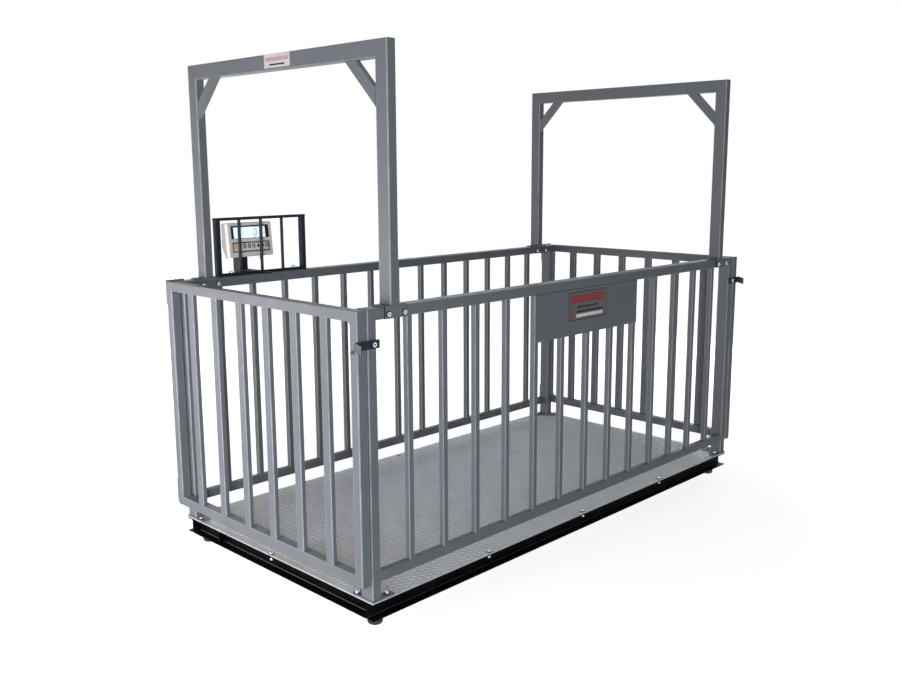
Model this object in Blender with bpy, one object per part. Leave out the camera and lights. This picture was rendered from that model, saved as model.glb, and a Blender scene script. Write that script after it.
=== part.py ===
"""Walk-through livestock scale: a platform on four load cells carries a cage of square tube.

Axes: X runs along the walk-through direction, Y across it, Z up. The near side is -Y.
Everything is built about the middle of the deck's top face and moved as one by an empty.
"""
import math

import bmesh
import bpy
from mathutils import Matrix

# Fits
FIT = 0.0003
RUNNING = 0.0004

# Platform
DECK_LENGTH = 2.500
DECK_WIDTH = 1.250
DECK_PLATE = 0.005
DECK_HEIGHT = 0.115
CHANNEL_HEIGHT = 0.065
CHANNEL_FLANGE = 0.040
CHANNEL_WALL = 0.005
CHANNEL_BEND = 0.008
CROSS_MEMBER = (0.060, 0.040)
CROSS_MEMBER_X = 0.420
STIFFENER_INSET = 0.242

# Load cells and feet
CELL_GAP = (0.006, 0.009)
PAD_RADIUS = 0.029
PAD_HEIGHT = 0.024
NECK_RADIUS = 0.011
STUD_RADIUS = 0.006
CELL_SIZE = 0.032
CELL_LENGTH = 0.130
CELL_END = 0.018
CELL_ABOVE_FLOOR = 0.050
CELL_EYE_RADIUS = 0.009
CELL_EYE_PITCH = 0.022
SPACER_LENGTH = 0.050

# Junction box under the deck
BOX_SIZE = (0.160, 0.090, 0.046)
BOX_WALL = 0.003
GLAND_RADIUS = 0.008
GLAND_LENGTH = 0.016

# Cage tube
TUBE_WALL = 0.002
TUBE_RADIUS = 0.004
BAR_RADIUS = 0.003
FRAME_INSET = 0.003
POST = (0.040, 0.060)
CAGE_TOP = 1.050
BOTTOM_RAIL = (0.030, 0.040)
BOTTOM_RAIL_Z = 0.067
BAR = 0.025
BAR_SET_BACK = 0.0025
BAR_PITCH = 0.175
FOOT_PLATE = 0.006
FOOT_PLATE_REACH_X = 0.105
FOOT_PLATE_REACH_Y = 0.115
FOOT_PLATE_LEG = (0.042, 0.036)

# Plate on the near panel
SIGN_LENGTH = 0.720
SIGN_HEIGHT = 0.194
SIGN_THICK = 0.003
SIGN_RADIUS = 0.006

# Arches
ARCH_INSET = 0.127
ARCH_TUBE = (0.040, 0.060)
ARCH_RISE = 0.888
BRACE_NEAR = 0.100
BRACE_FAR = 0.158
BRACE_DEPTH = 0.020
SADDLE_LENGTH = 0.100
SADDLE_WALL = 0.005
SADDLE_DROP = 0.040
SADDLE_BEND = 0.007

# Gates
GATE_TUBE = 0.040
GATE_GAP = 0.006
GATE_BOTTOM = 0.069
GATE_BAR = (0.020, 0.040)
GATE_BAR_SET_BACK = 0.002

# Gate hinges, on the far faces of gate and post
LEAF_THICK = 0.004
LEAF_HEIGHT = 0.100
LEAF_ABOVE_FRAME = 0.0045
LEAF_REACH = 0.042
LEAF_WELD = 0.004
LOWER_LEAF_Z = 0.080
KNUCKLE_RADIUS = 0.006
KNUCKLE_OUT = 0.0085
KNUCKLE_GAP = 0.0006
PIN_RADIUS = 0.003
PIN_PLAY = 0.0005
PIN_HEAD = (0.0055, 0.003)

# Gate latches
LATCH_BELOW_TOP = 0.119
LATCH_HEIGHT = 0.030
LATCH_THICK = 0.0045
LATCH_TAIL = 0.027
LATCH_PAST_GATE = 0.007
LATCH_LIP = 0.026
LATCH_BEND = 0.009
LATCH_DROOP = 0.22
LATCH_STANDOFF = 0.004
LATCH_BOLT_RADIUS = 0.005
LATCH_BOLT_HEAD = (0.0092, 0.0065)
LATCH_COLLAR_RADIUS = 0.011

# Guard in front of the indicator
GUARD_FROM_SADDLE = 0.012
GUARD_WIDTH = 0.480
GUARD_HEIGHT = 0.255
GUARD_POST = 0.025
GUARD_ROD_RADIUS = 0.006
GUARD_ROD_COUNT = 3
GUARD_STRIP = 0.010
GUARD_SHOE = 0.005

# Column and arm that carry the indicator
ARM_WIDTH = 0.050
ARM_THICK = 0.005
ARM_INSET = 0.002
COLUMN_SIZE = 0.050
COLUMN_HEIGHT = 0.170
HEAD_PLATE = (0.090, 0.070)
HEAD_PLATE_THICK = 0.0064
HEAD_PLATE_UP = 0.059

# Indicator, in its own frame: X across, Y into the housing, Z up the face
IND_OUT = 0.0613
IND_UP = 0.069
IND_TILT = 6.1
IND_WIDTH = 0.235
IND_HEIGHT = 0.157
BEZEL_DEPTH = 0.024
BEZEL_CORNER = 0.007
BEZEL_RIM = 0.004
HOUSING_TOP_DEPTH = 0.0528
HOUSING_KINK = (0.0651, 0.0562)
HOUSING_FOOT_DEPTH = 0.0459
HOUSING_WALL = 0.003
WINDOW_BELOW_TOP = (0.0740, 0.0145)
WINDOW_HALF = 0.1015
WINDOW_THICK = 0.002
LCD_X = (-0.088, 0.083)
LCD_BELOW_TOP = (0.0720, 0.0215)
LCD_DEPTH = 0.006
KEYPAD_Z = (0.0220, 0.0680)
KEYPAD_MARGIN = 0.0040
KEYPAD_THICK = 0.003
KEY_COUNT = 8
KEY_PITCH = 0.0240
KEY_SIZE = (0.0190, 0.0220)
KEY_Z = 0.0490
KEY_PROUD = 0.0010
KEY_DEPTH = 0.0060
FACE_RECESS = 0.0012

# Derived places
FOOT_X = DECK_LENGTH / 2 - CHANNEL_FLANGE - CELL_GAP[0] - CELL_END
FOOT_Y = DECK_WIDTH / 2 - CHANNEL_FLANGE - CELL_GAP[1] - CELL_SIZE / 2
FRAME_X = DECK_LENGTH / 2 - FRAME_INSET
FRAME_Y = DECK_WIDTH / 2 - FRAME_INSET
POST_INNER_X = FRAME_X - POST[0]
POST_INNER_Y = FRAME_Y - POST[1]
RAIL_UNDER = CAGE_TOP - POST[0]
BAR_FACE_Y = FRAME_Y - BAR_SET_BACK
BAR_COUNT = int(2 * POST_INNER_X / BAR_PITCH)
GATE_BAR_COUNT = int(2 * (FRAME_Y - GATE_TUBE) / BAR_PITCH)
SADDLE_TOP = CAGE_TOP + FIT + SADDLE_WALL
ARCH_X = FRAME_X - ARCH_INSET
ARCH_TOP = CAGE_TOP + ARCH_RISE
ARCH_UNDER = ARCH_TOP - ARCH_TUBE[1]
ARCH_INNER_Y = FRAME_Y - ARCH_TUBE[1]
GATE_INNER_X = FRAME_X + GATE_GAP
GATE_OUTER_X = GATE_INNER_X + GATE_TUBE
HINGE_X = FRAME_X + GATE_GAP / 2
HINGE_Y = FRAME_Y + KNUCKLE_OUT
KNUCKLE_BORE = PIN_RADIUS + PIN_PLAY
LATCH_X = FRAME_X - POST[0] / 2
LATCH_Z = CAGE_TOP - LATCH_BELOW_TOP
LATCH_TIP_X = GATE_OUTER_X + LATCH_PAST_GATE
LATCH_FACE_Y = -FRAME_Y - LATCH_STANDOFF
LATCH_OUT_Y = LATCH_FACE_Y - LATCH_THICK - LATCH_LIP
GUARD_X = -ARCH_X + SADDLE_LENGTH / 2 + GUARD_FROM_SADDLE + GUARD_WIDTH / 2
GUARD_Y = FRAME_Y - GUARD_POST / 2
IND_ORIGIN = (GUARD_X, FRAME_Y + IND_OUT, CAGE_TOP + IND_UP)
IND_LEAN = math.radians(IND_TILT)
HOUSING_BACK = (HOUSING_KINK[0] + FIT) * math.cos(IND_LEAN) + HOUSING_KINK[1] * math.sin(IND_LEAN)
HEAD_PLATE_Y = IND_ORIGIN[1] + HOUSING_BACK + FIT
HEAD_PLATE_Z = IND_ORIGIN[2] + HEAD_PLATE_UP
WINDOW_Z = [IND_HEIGHT - drop for drop in WINDOW_BELOW_TOP]
LCD_Z = [IND_HEIGHT - drop for drop in LCD_BELOW_TOP]
KEYPAD_HALF = KEY_COUNT * KEY_PITCH / 2 + KEYPAD_MARGIN
COLUMN_Y = HEAD_PLATE_Y + HEAD_PLATE_THICK + COLUMN_SIZE / 2
ARM_START_Y = POST_INNER_Y + ARM_INSET
FAR_REACH = COLUMN_Y + COLUMN_SIZE / 2
MIDDLE_Y = -(FAR_REACH + LATCH_OUT_Y) / 2
PLATFORM_UNDER = -DECK_PLATE - CHANNEL_HEIGHT
FLOOR = -DECK_HEIGHT

AXES = "XYZ"


# Scene set-up
def clear_scene():
    for old in list(bpy.data.objects):
        bpy.data.objects.remove(old, do_unlink=True)


def collection(name):
    made = bpy.data.collections.new(name)
    bpy.context.scene.collection.children.link(made)
    return made


clear_scene()
PARTS = collection("livestock_scale")
CUTTERS = collection("cutters")
DECK_CENTRE = bpy.data.objects.new("deck_centre", None)
DECK_CENTRE.location = (0, MIDDLE_Y, DECK_HEIGHT)
PARTS.objects.link(DECK_CENTRE)


def material(name, colour, roughness, metallic):
    made = bpy.data.materials.new(name)
    made.use_nodes = True
    shader = made.node_tree.nodes["Principled BSDF"]
    shader.inputs["Base Color"].default_value = (*colour, 1)
    shader.inputs["Roughness"].default_value = roughness
    shader.inputs["Metallic"].default_value = metallic
    made.diffuse_color = (*colour, 1)
    return made


CAGE_PAINT = material("cage_paint", (0.30, 0.31, 0.33), 0.40, 0.3)
BASE_PAINT = material("base_paint", (0.015, 0.015, 0.018), 0.45, 0.1)
DECK_PAINT = material("deck_paint", (0.36, 0.36, 0.38), 0.50, 0.3)
DARK_PAINT = material("dark_paint", (0.03, 0.04, 0.05), 0.40, 0.2)
ZINC = material("zinc", (0.75, 0.75, 0.77), 0.25, 1.0)
CELL_STEEL = material("cell_steel", (0.60, 0.60, 0.62), 0.30, 1.0)
RUBBER = material("rubber", (0.02, 0.02, 0.02), 0.70, 0.0)
BOX_PLASTIC = material("box_plastic", (0.10, 0.10, 0.11), 0.50, 0.0)
HOUSING_PLASTIC = material("housing_plastic", (0.55, 0.52, 0.50), 0.45, 0.0)
BEZEL_PLASTIC = material("bezel_plastic", (0.45, 0.45, 0.44), 0.40, 0.0)
WINDOW_CLEAR = material("window_clear", (0.05, 0.06, 0.08), 0.10, 0.0)
LCD_GLASS = material("lcd_glass", (0.75, 0.85, 0.92), 0.20, 0.0)
KEYPAD_FILM = material("keypad_film", (0.35, 0.36, 0.37), 0.35, 0.0)
KEY_FILM = material("key_film", (0.30, 0.31, 0.32), 0.35, 0.0)
KEY_ORANGE = material("key_orange", (0.80, 0.36, 0.12), 0.35, 0.0)


# Turning a mesh into a placed piece
def place(bm, name, home, pivot=(0, 0, 0), paint=None, smooth=None):
    """Close a bmesh into an object whose origin is the pivot, in the deck-centre frame."""
    bmesh.ops.recalc_face_normals(bm, faces=bm.faces)
    bmesh.ops.translate(bm, verts=bm.verts, vec=[-c for c in pivot])
    mesh = bpy.data.meshes.new(name)
    bm.to_mesh(mesh)
    bm.free()
    if smooth is not None:
        mesh.set_sharp_from_angle(angle=math.radians(smooth))
    made = bpy.data.objects.new(name, mesh)
    home.objects.link(made)
    made.parent = DECK_CENTRE
    made.location = pivot
    if paint is not None:
        mesh.materials.append(paint)
    return made


def piece(bm, name, paint, pivot=(0, 0, 0), smooth=30):
    for face in bm.faces:
        face.smooth = True
    return place(bm, name, PARTS, pivot, paint, smooth)


def tool(bm, name, pivot=(0, 0, 0)):
    made = place(bm, name, CUTTERS, pivot)
    made.hide_render = True
    made.display_type = "WIRE"
    return made


def combine(target, operation, bm, label, pivot=(0, 0, 0)):
    """Add or cut a solid with an exact Boolean."""
    other = tool(bm, f"{target.name}_{label}", pivot)
    step = target.modifiers.new(label, "BOOLEAN")
    step.operation = operation
    step.solver = "EXACT"
    step.object = other
    return other


# Forms
def block(bm, low, high):
    """A box between two corners."""
    made = bmesh.ops.create_cube(bm, size=1.0)["verts"]
    size = [b - a for a, b in zip(low, high)]
    middle = [(a + b) / 2 for a, b in zip(low, high)]
    bmesh.ops.scale(bm, verts=made, vec=size)
    bmesh.ops.translate(bm, verts=made, vec=middle)
    return made


def round_edges(bm, verts, axis, radius, steps):
    """Round the four long edges of a box that run along one axis."""
    across = [n for n in range(3) if n != AXES.index(axis)]
    chosen = set(verts)
    edges = []
    for edge in bm.edges:
        if not chosen.issuperset(edge.verts):
            continue
        span = edge.verts[1].co - edge.verts[0].co
        if all(abs(span[n]) < 1e-7 for n in across):
            edges.append(edge)
    bmesh.ops.bevel(
        bm, geom=edges, offset=radius, offset_type="OFFSET", segments=steps, profile=0.5, affect="EDGES"
    )


def bar(bm, axis, low, high, radius=TUBE_RADIUS, steps=2):
    """A rectangular section along one axis, with its long edges rounded."""
    before = set(bm.verts)
    made = block(bm, low, high)
    if radius:
        round_edges(bm, made, axis, radius, steps)
    return [v for v in bm.verts if v not in before]


def inside(low, high, axis, past_low, past_high, wall=TUBE_WALL):
    """The hollow of a tube: thinner by its wall, and longer than the tube where it runs out."""
    along = AXES.index(axis)
    small = [a + wall for a in low]
    large = [b - wall for b in high]
    small[along] = low[along] - past_low
    large[along] = high[along] + past_high
    return small, large


def mitre(verts, axis, end, across, outer, sign):
    """Slant one end of a bar at 45 degrees: it is longest at the outer face."""
    along = AXES.index(axis)
    side = AXES.index(across)
    for v in verts:
        if abs(v.co[along] - end) < 1e-6:
            v.co[along] = end - sign * abs(outer - v.co[side])


def rod(bm, axis, centre, radius, start, end, sides=16):
    """A round bar along one axis, between two positions on it."""
    made = bmesh.ops.create_cone(
        bm, cap_ends=True, segments=sides, radius1=radius, radius2=radius, depth=end - start
    )["verts"]
    turn = {
        "X": Matrix.Rotation(math.radians(90), 4, "Y"),
        "Y": Matrix.Rotation(math.radians(-90), 4, "X"),
        "Z": Matrix.Identity(4),
    }[axis]
    bmesh.ops.transform(bm, matrix=turn, verts=made)
    spot = list(centre)
    spot.insert(AXES.index(axis), (start + end) / 2)
    bmesh.ops.translate(bm, verts=made, vec=spot)
    return made


def outline_prism(bm, outline, axis, start, end):
    """A closed outline in the plane across an axis, drawn out along it."""
    def spot(pair, along):
        full = list(pair)
        full.insert(AXES.index(axis), along)
        return full

    first = [bm.verts.new(spot(p, start)) for p in outline]
    face = bm.faces.new(first)
    grown = bmesh.ops.extrude_face_region(bm, geom=[face])["geom"]
    moved = [g for g in grown if isinstance(g, bmesh.types.BMVert)]
    vec = [0, 0, 0]
    vec[AXES.index(axis)] = end - start
    bmesh.ops.translate(bm, verts=moved, vec=vec)
    return first + moved


def arc(centre, radius, start, end, steps):
    """Points on an arc, angles in degrees."""
    points = []
    for n in range(steps + 1):
        angle = math.radians(start + (end - start) * n / steps)
        points.append((centre[0] + radius * math.cos(angle), centre[1] + radius * math.sin(angle)))
    return points


def sheet_outline(path, radius, thick, steps=3):
    """The section of a bent sheet: a centreline with rounded bends, given thickness."""
    spots = []
    for n, here in enumerate(path):
        if n in (0, len(path) - 1):
            ahead = path[1] if n == 0 else here
            behind = here if n == 0 else path[-2]
            way = math.atan2(ahead[1] - behind[1], ahead[0] - behind[0])
            spots.append((here, way + math.pi / 2))
            continue
        way_in = math.atan2(here[1] - path[n - 1][1], here[0] - path[n - 1][0])
        way_out = math.atan2(path[n + 1][1] - here[1], path[n + 1][0] - here[0])
        turn = (way_out - way_in + math.pi) % (2 * math.pi) - math.pi
        back = radius * math.tan(abs(turn) / 2)
        side = math.copysign(1, turn)
        start = (here[0] - back * math.cos(way_in), here[1] - back * math.sin(way_in))
        centre = (
            start[0] - side * radius * math.sin(way_in),
            start[1] + side * radius * math.cos(way_in),
        )
        for k in range(steps + 1):
            way = way_in + turn * k / steps
            spot = (
                centre[0] + side * radius * math.sin(way),
                centre[1] - side * radius * math.cos(way),
            )
            spots.append((spot, way + math.pi / 2))
    left = [(p[0] + thick / 2 * math.cos(a), p[1] + thick / 2 * math.sin(a)) for p, a in spots]
    right = [(p[0] - thick / 2 * math.cos(a), p[1] - thick / 2 * math.sin(a)) for p, a in spots]
    return left + right[::-1]


def rounded_rectangle(low, high, radius, steps=3):
    """An outline with four rounded corners."""
    centres = [
        (high[0] - radius, high[1] - radius),
        (low[0] + radius, high[1] - radius),
        (low[0] + radius, low[1] + radius),
        (high[0] - radius, low[1] + radius),
    ]
    points = []
    for n, centre in enumerate(centres):
        points += arc(centre, radius, 90 * n, 90 * n + 90, steps)
    return points


def turned(bm, profile, centre, steps=20):
    """A solid of revolution about a vertical axis: the profile starts and ends on it."""
    made = [bm.verts.new((r, 0, z)) for r, z in profile]
    edges = [bm.edges.new(pair) for pair in zip(made, made[1:])]
    bmesh.ops.spin(
        bm, geom=made + edges, cent=(0, 0, 0), axis=(0, 0, 1), dvec=(0, 0, 0), angle=2 * math.pi, steps=steps
    )
    bmesh.ops.remove_doubles(bm, verts=bm.verts, dist=1e-6)
    bmesh.ops.translate(bm, verts=bm.verts, vec=centre)


def ordered(a, b):
    return (a, b) if a < b else (b, a)


def mirrored(low, high, side_x=1, side_y=1):
    """Box corners on the chosen side of the two middle planes, given on the +X, +Y side."""
    xs = ordered(side_x * low[0], side_x * high[0])
    ys = ordered(side_y * low[1], side_y * high[1])
    return (xs[0], ys[0], low[2]), (xs[1], ys[1], high[2])


# Platform
def deck_plate():
    bm = bmesh.new()
    block(
        bm,
        (-DECK_LENGTH / 2, -DECK_WIDTH / 2, -DECK_PLATE),
        (DECK_LENGTH / 2, DECK_WIDTH / 2, 0),
    )
    piece(bm, "deck_plate", DECK_PAINT)


def channel_section(outer, side):
    """A C section open outward: the web stands inside, the flanges reach the deck's edge."""
    top = -DECK_PLATE - FIT - CHANNEL_WALL / 2
    bottom = PLATFORM_UNDER + CHANNEL_WALL / 2
    web = side * (outer - CHANNEL_FLANGE + CHANNEL_WALL / 2)
    edge = side * outer
    path = [(edge, top), (web, top), (web, bottom), (edge, bottom)]
    return sheet_outline(path, CHANNEL_BEND, CHANNEL_WALL)


def long_channel(name, side):
    bm = bmesh.new()
    outline_prism(bm, channel_section(DECK_WIDTH / 2, side), "X", -DECK_LENGTH / 2, DECK_LENGTH / 2)
    piece(bm, name, BASE_PAINT)


def end_channel(name, side):
    """The short channel between the long ones, with one stiffener welded into its mouth."""
    reach = DECK_WIDTH / 2 - CHANNEL_FLANGE - FIT
    bm = bmesh.new()
    outline_prism(bm, channel_section(DECK_LENGTH / 2, side), "Y", -reach, reach)
    made = piece(bm, name, BASE_PAINT)
    rib = bmesh.new()
    inner = DECK_LENGTH / 2 - CHANNEL_FLANGE + CHANNEL_WALL / 2
    outer = DECK_LENGTH / 2 - CHANNEL_WALL
    rib_y = DECK_WIDTH / 2 - STIFFENER_INSET
    low, high = mirrored(
        (inner, rib_y, PLATFORM_UNDER + CHANNEL_WALL / 2),
        (outer, rib_y + CHANNEL_WALL, -DECK_PLATE - FIT - CHANNEL_WALL / 2),
        side,
    )
    block(rib, low, high)
    combine(made, "UNION", rib, "stiffener")


def cross_member(name, x):
    width, height = CROSS_MEMBER
    reach = DECK_WIDTH / 2 - CHANNEL_FLANGE - FIT
    top = -DECK_PLATE - FIT
    low = (x - width / 2, -reach, top - height)
    high = (x + width / 2, reach, top)
    bm = bmesh.new()
    bar(bm, "Y", low, high)
    made = piece(bm, name, BASE_PAINT)
    hollow = bmesh.new()
    block(hollow, *inside(low, high, "Y", 0.002, 0.002))
    combine(made, "DIFFERENCE", hollow, "hollow")


def load_cell(name, side_x, side_y):
    """A beam cell: its inner end hangs from the deck by a spacer, its outer end takes the foot."""
    bottom = FLOOR + CELL_ABOVE_FLOOR
    half = CELL_SIZE / 2
    outer = FOOT_X + CELL_END
    inner = outer - CELL_LENGTH
    bm = bmesh.new()
    low, high = mirrored((inner, FOOT_Y - half, bottom), (outer, FOOT_Y + half, bottom + CELL_SIZE), side_x, side_y)
    bar(bm, "X", low, high, 0.002, 1)
    made = piece(bm, name, CELL_STEEL)
    eye = bmesh.new()
    centre = (inner + outer) / 2
    reach = ordered(side_y * (FOOT_Y - half - 0.002), side_y * (FOOT_Y + half + 0.002))
    low = (centre - CELL_EYE_PITCH / 2, bottom + half - CELL_EYE_RADIUS)
    high = (centre + CELL_EYE_PITCH / 2, bottom + half + CELL_EYE_RADIUS)
    right = arc((high[0], bottom + half), CELL_EYE_RADIUS, -90, 90, 6)
    left = arc((low[0], bottom + half), CELL_EYE_RADIUS, 90, 270, 6)
    outline_prism(eye, [(side_x * x, z) for x, z in right + left], "Y", *reach)
    combine(made, "DIFFERENCE", eye, "eye")
    bore = bmesh.new()
    rod(
        bore,
        "Z",
        (side_x * FOOT_X, side_y * FOOT_Y),
        STUD_RADIUS + 2 * RUNNING,
        bottom - 0.002,
        bottom + CELL_SIZE + 0.002,
    )
    combine(made, "DIFFERENCE", bore, "stud_hole")
    spacer = bmesh.new()
    low, high = mirrored(
        (inner, FOOT_Y - half, bottom + CELL_SIZE - 0.001),
        (inner + SPACER_LENGTH, FOOT_Y + half, -DECK_PLATE - FIT),
        side_x,
        side_y,
    )
    block(spacer, low, high)
    combine(made, "UNION", spacer, "spacer")


def levelling_foot(name, side_x, side_y):
    """A turned pad, neck and stud in one: it is screwed up or down by turning."""
    cell = CELL_ABOVE_FLOOR
    profile = [
        (0, 0),
        (PAD_RADIUS - 0.006, 0),
        (PAD_RADIUS - 0.0015, 0.0035),
        (PAD_RADIUS, 0.008),
        (PAD_RADIUS, PAD_HEIGHT - 0.006),
        (PAD_RADIUS - 0.004, PAD_HEIGHT - 0.001),
        (NECK_RADIUS + 0.004, PAD_HEIGHT + 0.003),
        (NECK_RADIUS, PAD_HEIGHT + 0.008),
        (NECK_RADIUS, cell - FIT),
        (STUD_RADIUS, cell - FIT),
        (STUD_RADIUS, cell + CELL_SIZE + 0.008),
        (STUD_RADIUS - 0.001, cell + CELL_SIZE + 0.009),
        (0, cell + CELL_SIZE + 0.009),
    ]
    spot = (side_x * FOOT_X, side_y * FOOT_Y, FLOOR)
    bm = bmesh.new()
    turned(bm, profile, spot)
    piece(bm, name, RUBBER, spot, 40)


def junction_box():
    """A shallow box under the deck, open below, with cable glands on its long sides."""
    length, width, height = BOX_SIZE
    top = -DECK_PLATE - FIT
    bm = bmesh.new()
    block(bm, (-length / 2, -width / 2, top - height), (length / 2, width / 2, top))
    round_edges(bm, bm.verts[:], "Z", 0.006, 2)
    made = piece(bm, "junction_box", BOX_PLASTIC)
    hollow = bmesh.new()
    block(
        hollow,
        (-length / 2 + BOX_WALL, -width / 2 + BOX_WALL, top - height - 0.002),
        (length / 2 - BOX_WALL, width / 2 - BOX_WALL, top - BOX_WALL),
    )
    combine(made, "DIFFERENCE", hollow, "hollow")
    glands = bmesh.new()
    for side in (-1, 1):
        for x in (-0.045, 0.045):
            start, end = ordered(side * (width / 2 - BOX_WALL / 2), side * (width / 2 + GLAND_LENGTH))
            rod(glands, "Y", (x, top - height / 2), GLAND_RADIUS, start, end, 6)
    start = length / 2 - BOX_WALL / 2
    rod(glands, "X", (0, top - height / 2), GLAND_RADIUS, start, length / 2 + GLAND_LENGTH, 6)
    combine(made, "UNION", glands, "glands")
    lid = bmesh.new()
    under = top - height - FIT
    block(lid, (-length / 2, -width / 2, under - BOX_WALL), (length / 2, width / 2, under))
    round_edges(lid, lid.verts[:], "Z", 0.006, 2)
    piece(lid, "junction_box_lid", BOX_PLASTIC)


# Cage posts and panels
def foot_plate_outline(side_x, side_y):
    """An L that reaches from the post along both edges of the deck."""
    edge_x = DECK_LENGTH / 2
    edge_y = DECK_WIDTH / 2
    wide, narrow = FOOT_PLATE_LEG
    corners = [
        (edge_x, edge_y),
        (edge_x - FOOT_PLATE_REACH_X, edge_y),
        (edge_x - FOOT_PLATE_REACH_X, edge_y - narrow),
        (POST_INNER_X - 0.004, edge_y - narrow),
        (POST_INNER_X - 0.004, POST_INNER_Y - 0.004),
        (edge_x - wide, POST_INNER_Y - 0.004),
        (edge_x - wide, edge_y - FOOT_PLATE_REACH_Y),
        (edge_x, edge_y - FOOT_PLATE_REACH_Y),
    ]
    return [(side_x * x, side_y * y) for x, y in corners]


def hinge_leaf(bm, side, moving, bottom, height):
    """One leaf on the far faces of gate or post, with its share of the knuckles."""
    step = height / 3
    near = HINGE_X + (KNUCKLE_RADIUS if moving else -KNUCKLE_RADIUS)
    far = near + (LEAF_REACH if moving else -LEAF_REACH) - (KNUCKLE_RADIUS if moving else -KNUCKLE_RADIUS)
    plate = mirrored(
        (min(near, far), FRAME_Y + FIT, bottom), (max(near, far), FRAME_Y + LEAF_THICK, bottom + height), side
    )
    block(bm, *plate)
    weld = bmesh.new()
    seam = mirrored(
        (min(near, far) + LEAF_WELD, FRAME_Y - TUBE_WALL / 2, bottom + LEAF_WELD),
        (max(near, far) - LEAF_WELD, FRAME_Y + LEAF_THICK / 2, min(bottom + height, RAIL_UNDER) - LEAF_WELD),
        side,
    )
    block(weld, *seam)
    spans = [(1, 2)] if moving else [(0, 1), (2, 3)]
    tabs = bmesh.new()
    for start, end in spans:
        low = bottom + start * step + (KNUCKLE_GAP if start else 0)
        high = bottom + end * step - (KNUCKLE_GAP if end < 3 else 0)
        web = mirrored(
            (min(near, HINGE_X), FRAME_Y + LEAF_THICK / 3, low),
            (max(near, HINGE_X), FRAME_Y + LEAF_THICK, high),
            side,
        )
        block(tabs, *web)
    barrels = bmesh.new()
    bores = bmesh.new()
    for start, end in spans:
        low = bottom + start * step + (KNUCKLE_GAP if start else 0)
        high = bottom + end * step - (KNUCKLE_GAP if end < 3 else 0)
        rod(barrels, "Z", (side * HINGE_X, HINGE_Y), KNUCKLE_RADIUS, low, high)
        rod(bores, "Z", (side * HINGE_X, HINGE_Y), KNUCKLE_BORE, low - 0.001, high + 0.001)
    return weld, tabs, barrels, bores


def hinge_heights():
    top = CAGE_TOP + LEAF_ABOVE_FRAME - LEAF_HEIGHT
    return {"top": top, "bottom": LOWER_LEAF_Z}


def add_leaves(made, side, moving, pivot=(0, 0, 0)):
    for place_name, bottom in hinge_heights().items():
        plates = bmesh.new()
        weld, tabs, barrels, bores = hinge_leaf(plates, side, moving, bottom, LEAF_HEIGHT)
        combine(made, "UNION", weld, f"weld_{place_name}", pivot)
        combine(made, "UNION", plates, f"leaf_{place_name}", pivot)
        combine(made, "UNION", tabs, f"tabs_{place_name}", pivot)
        combine(made, "UNION", barrels, f"barrels_{place_name}", pivot)
        combine(made, "DIFFERENCE", bores, f"bores_{place_name}", pivot)


def post(name, side_x, side_y):
    """Corner post on its foot plate, mitred into the top rail; far posts carry the gate hinges."""
    low, high = mirrored(
        (POST_INNER_X, POST_INNER_Y, FIT + FOOT_PLATE / 2), (FRAME_X, FRAME_Y, CAGE_TOP), side_x, side_y
    )
    bm = bmesh.new()
    mitre(bar(bm, "Z", low, high), "Z", CAGE_TOP, "X", side_x * FRAME_X, 1)
    made = piece(bm, name, CAGE_PAINT)
    plate = bmesh.new()
    outline_prism(plate, foot_plate_outline(side_x, side_y), "Z", FIT, FIT + FOOT_PLATE)
    combine(made, "UNION", plate, "foot_plate")
    small, large = inside(low, high, "Z", 0, 0.010)
    small[2] = FIT + FOOT_PLATE
    hollow = bmesh.new()
    mitre(block(hollow, small, large), "Z", large[2], "X", side_x * FRAME_X, 1)
    combine(made, "DIFFERENCE", hollow, "hollow")
    if side_y > 0:
        add_leaves(made, side_x, False)
    else:
        hole = bmesh.new()
        start = -FRAME_Y - 0.002
        rod(hole, "Y", (side_x * LATCH_X, LATCH_Z), LATCH_BOLT_RADIUS + FIT, start, -FRAME_Y + 2 * TUBE_WALL)
        combine(made, "DIFFERENCE", hole, "latch_hole")


def panel_bars(side_y, low_z, high_z, wall):
    """The upright bars of one panel, drawn in by a wall thickness."""
    bm = bmesh.new()
    for n in range(BAR_COUNT):
        x = (n - (BAR_COUNT - 1) / 2) * BAR_PITCH
        low, high = mirrored(
            (x - BAR / 2 + wall, BAR_FACE_Y - BAR + wall, low_z),
            (x + BAR / 2 - wall, BAR_FACE_Y - wall, high_z),
            1,
            side_y,
        )
        bar(bm, "Z", low, high, 0 if wall else BAR_RADIUS)
    return bm


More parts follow.
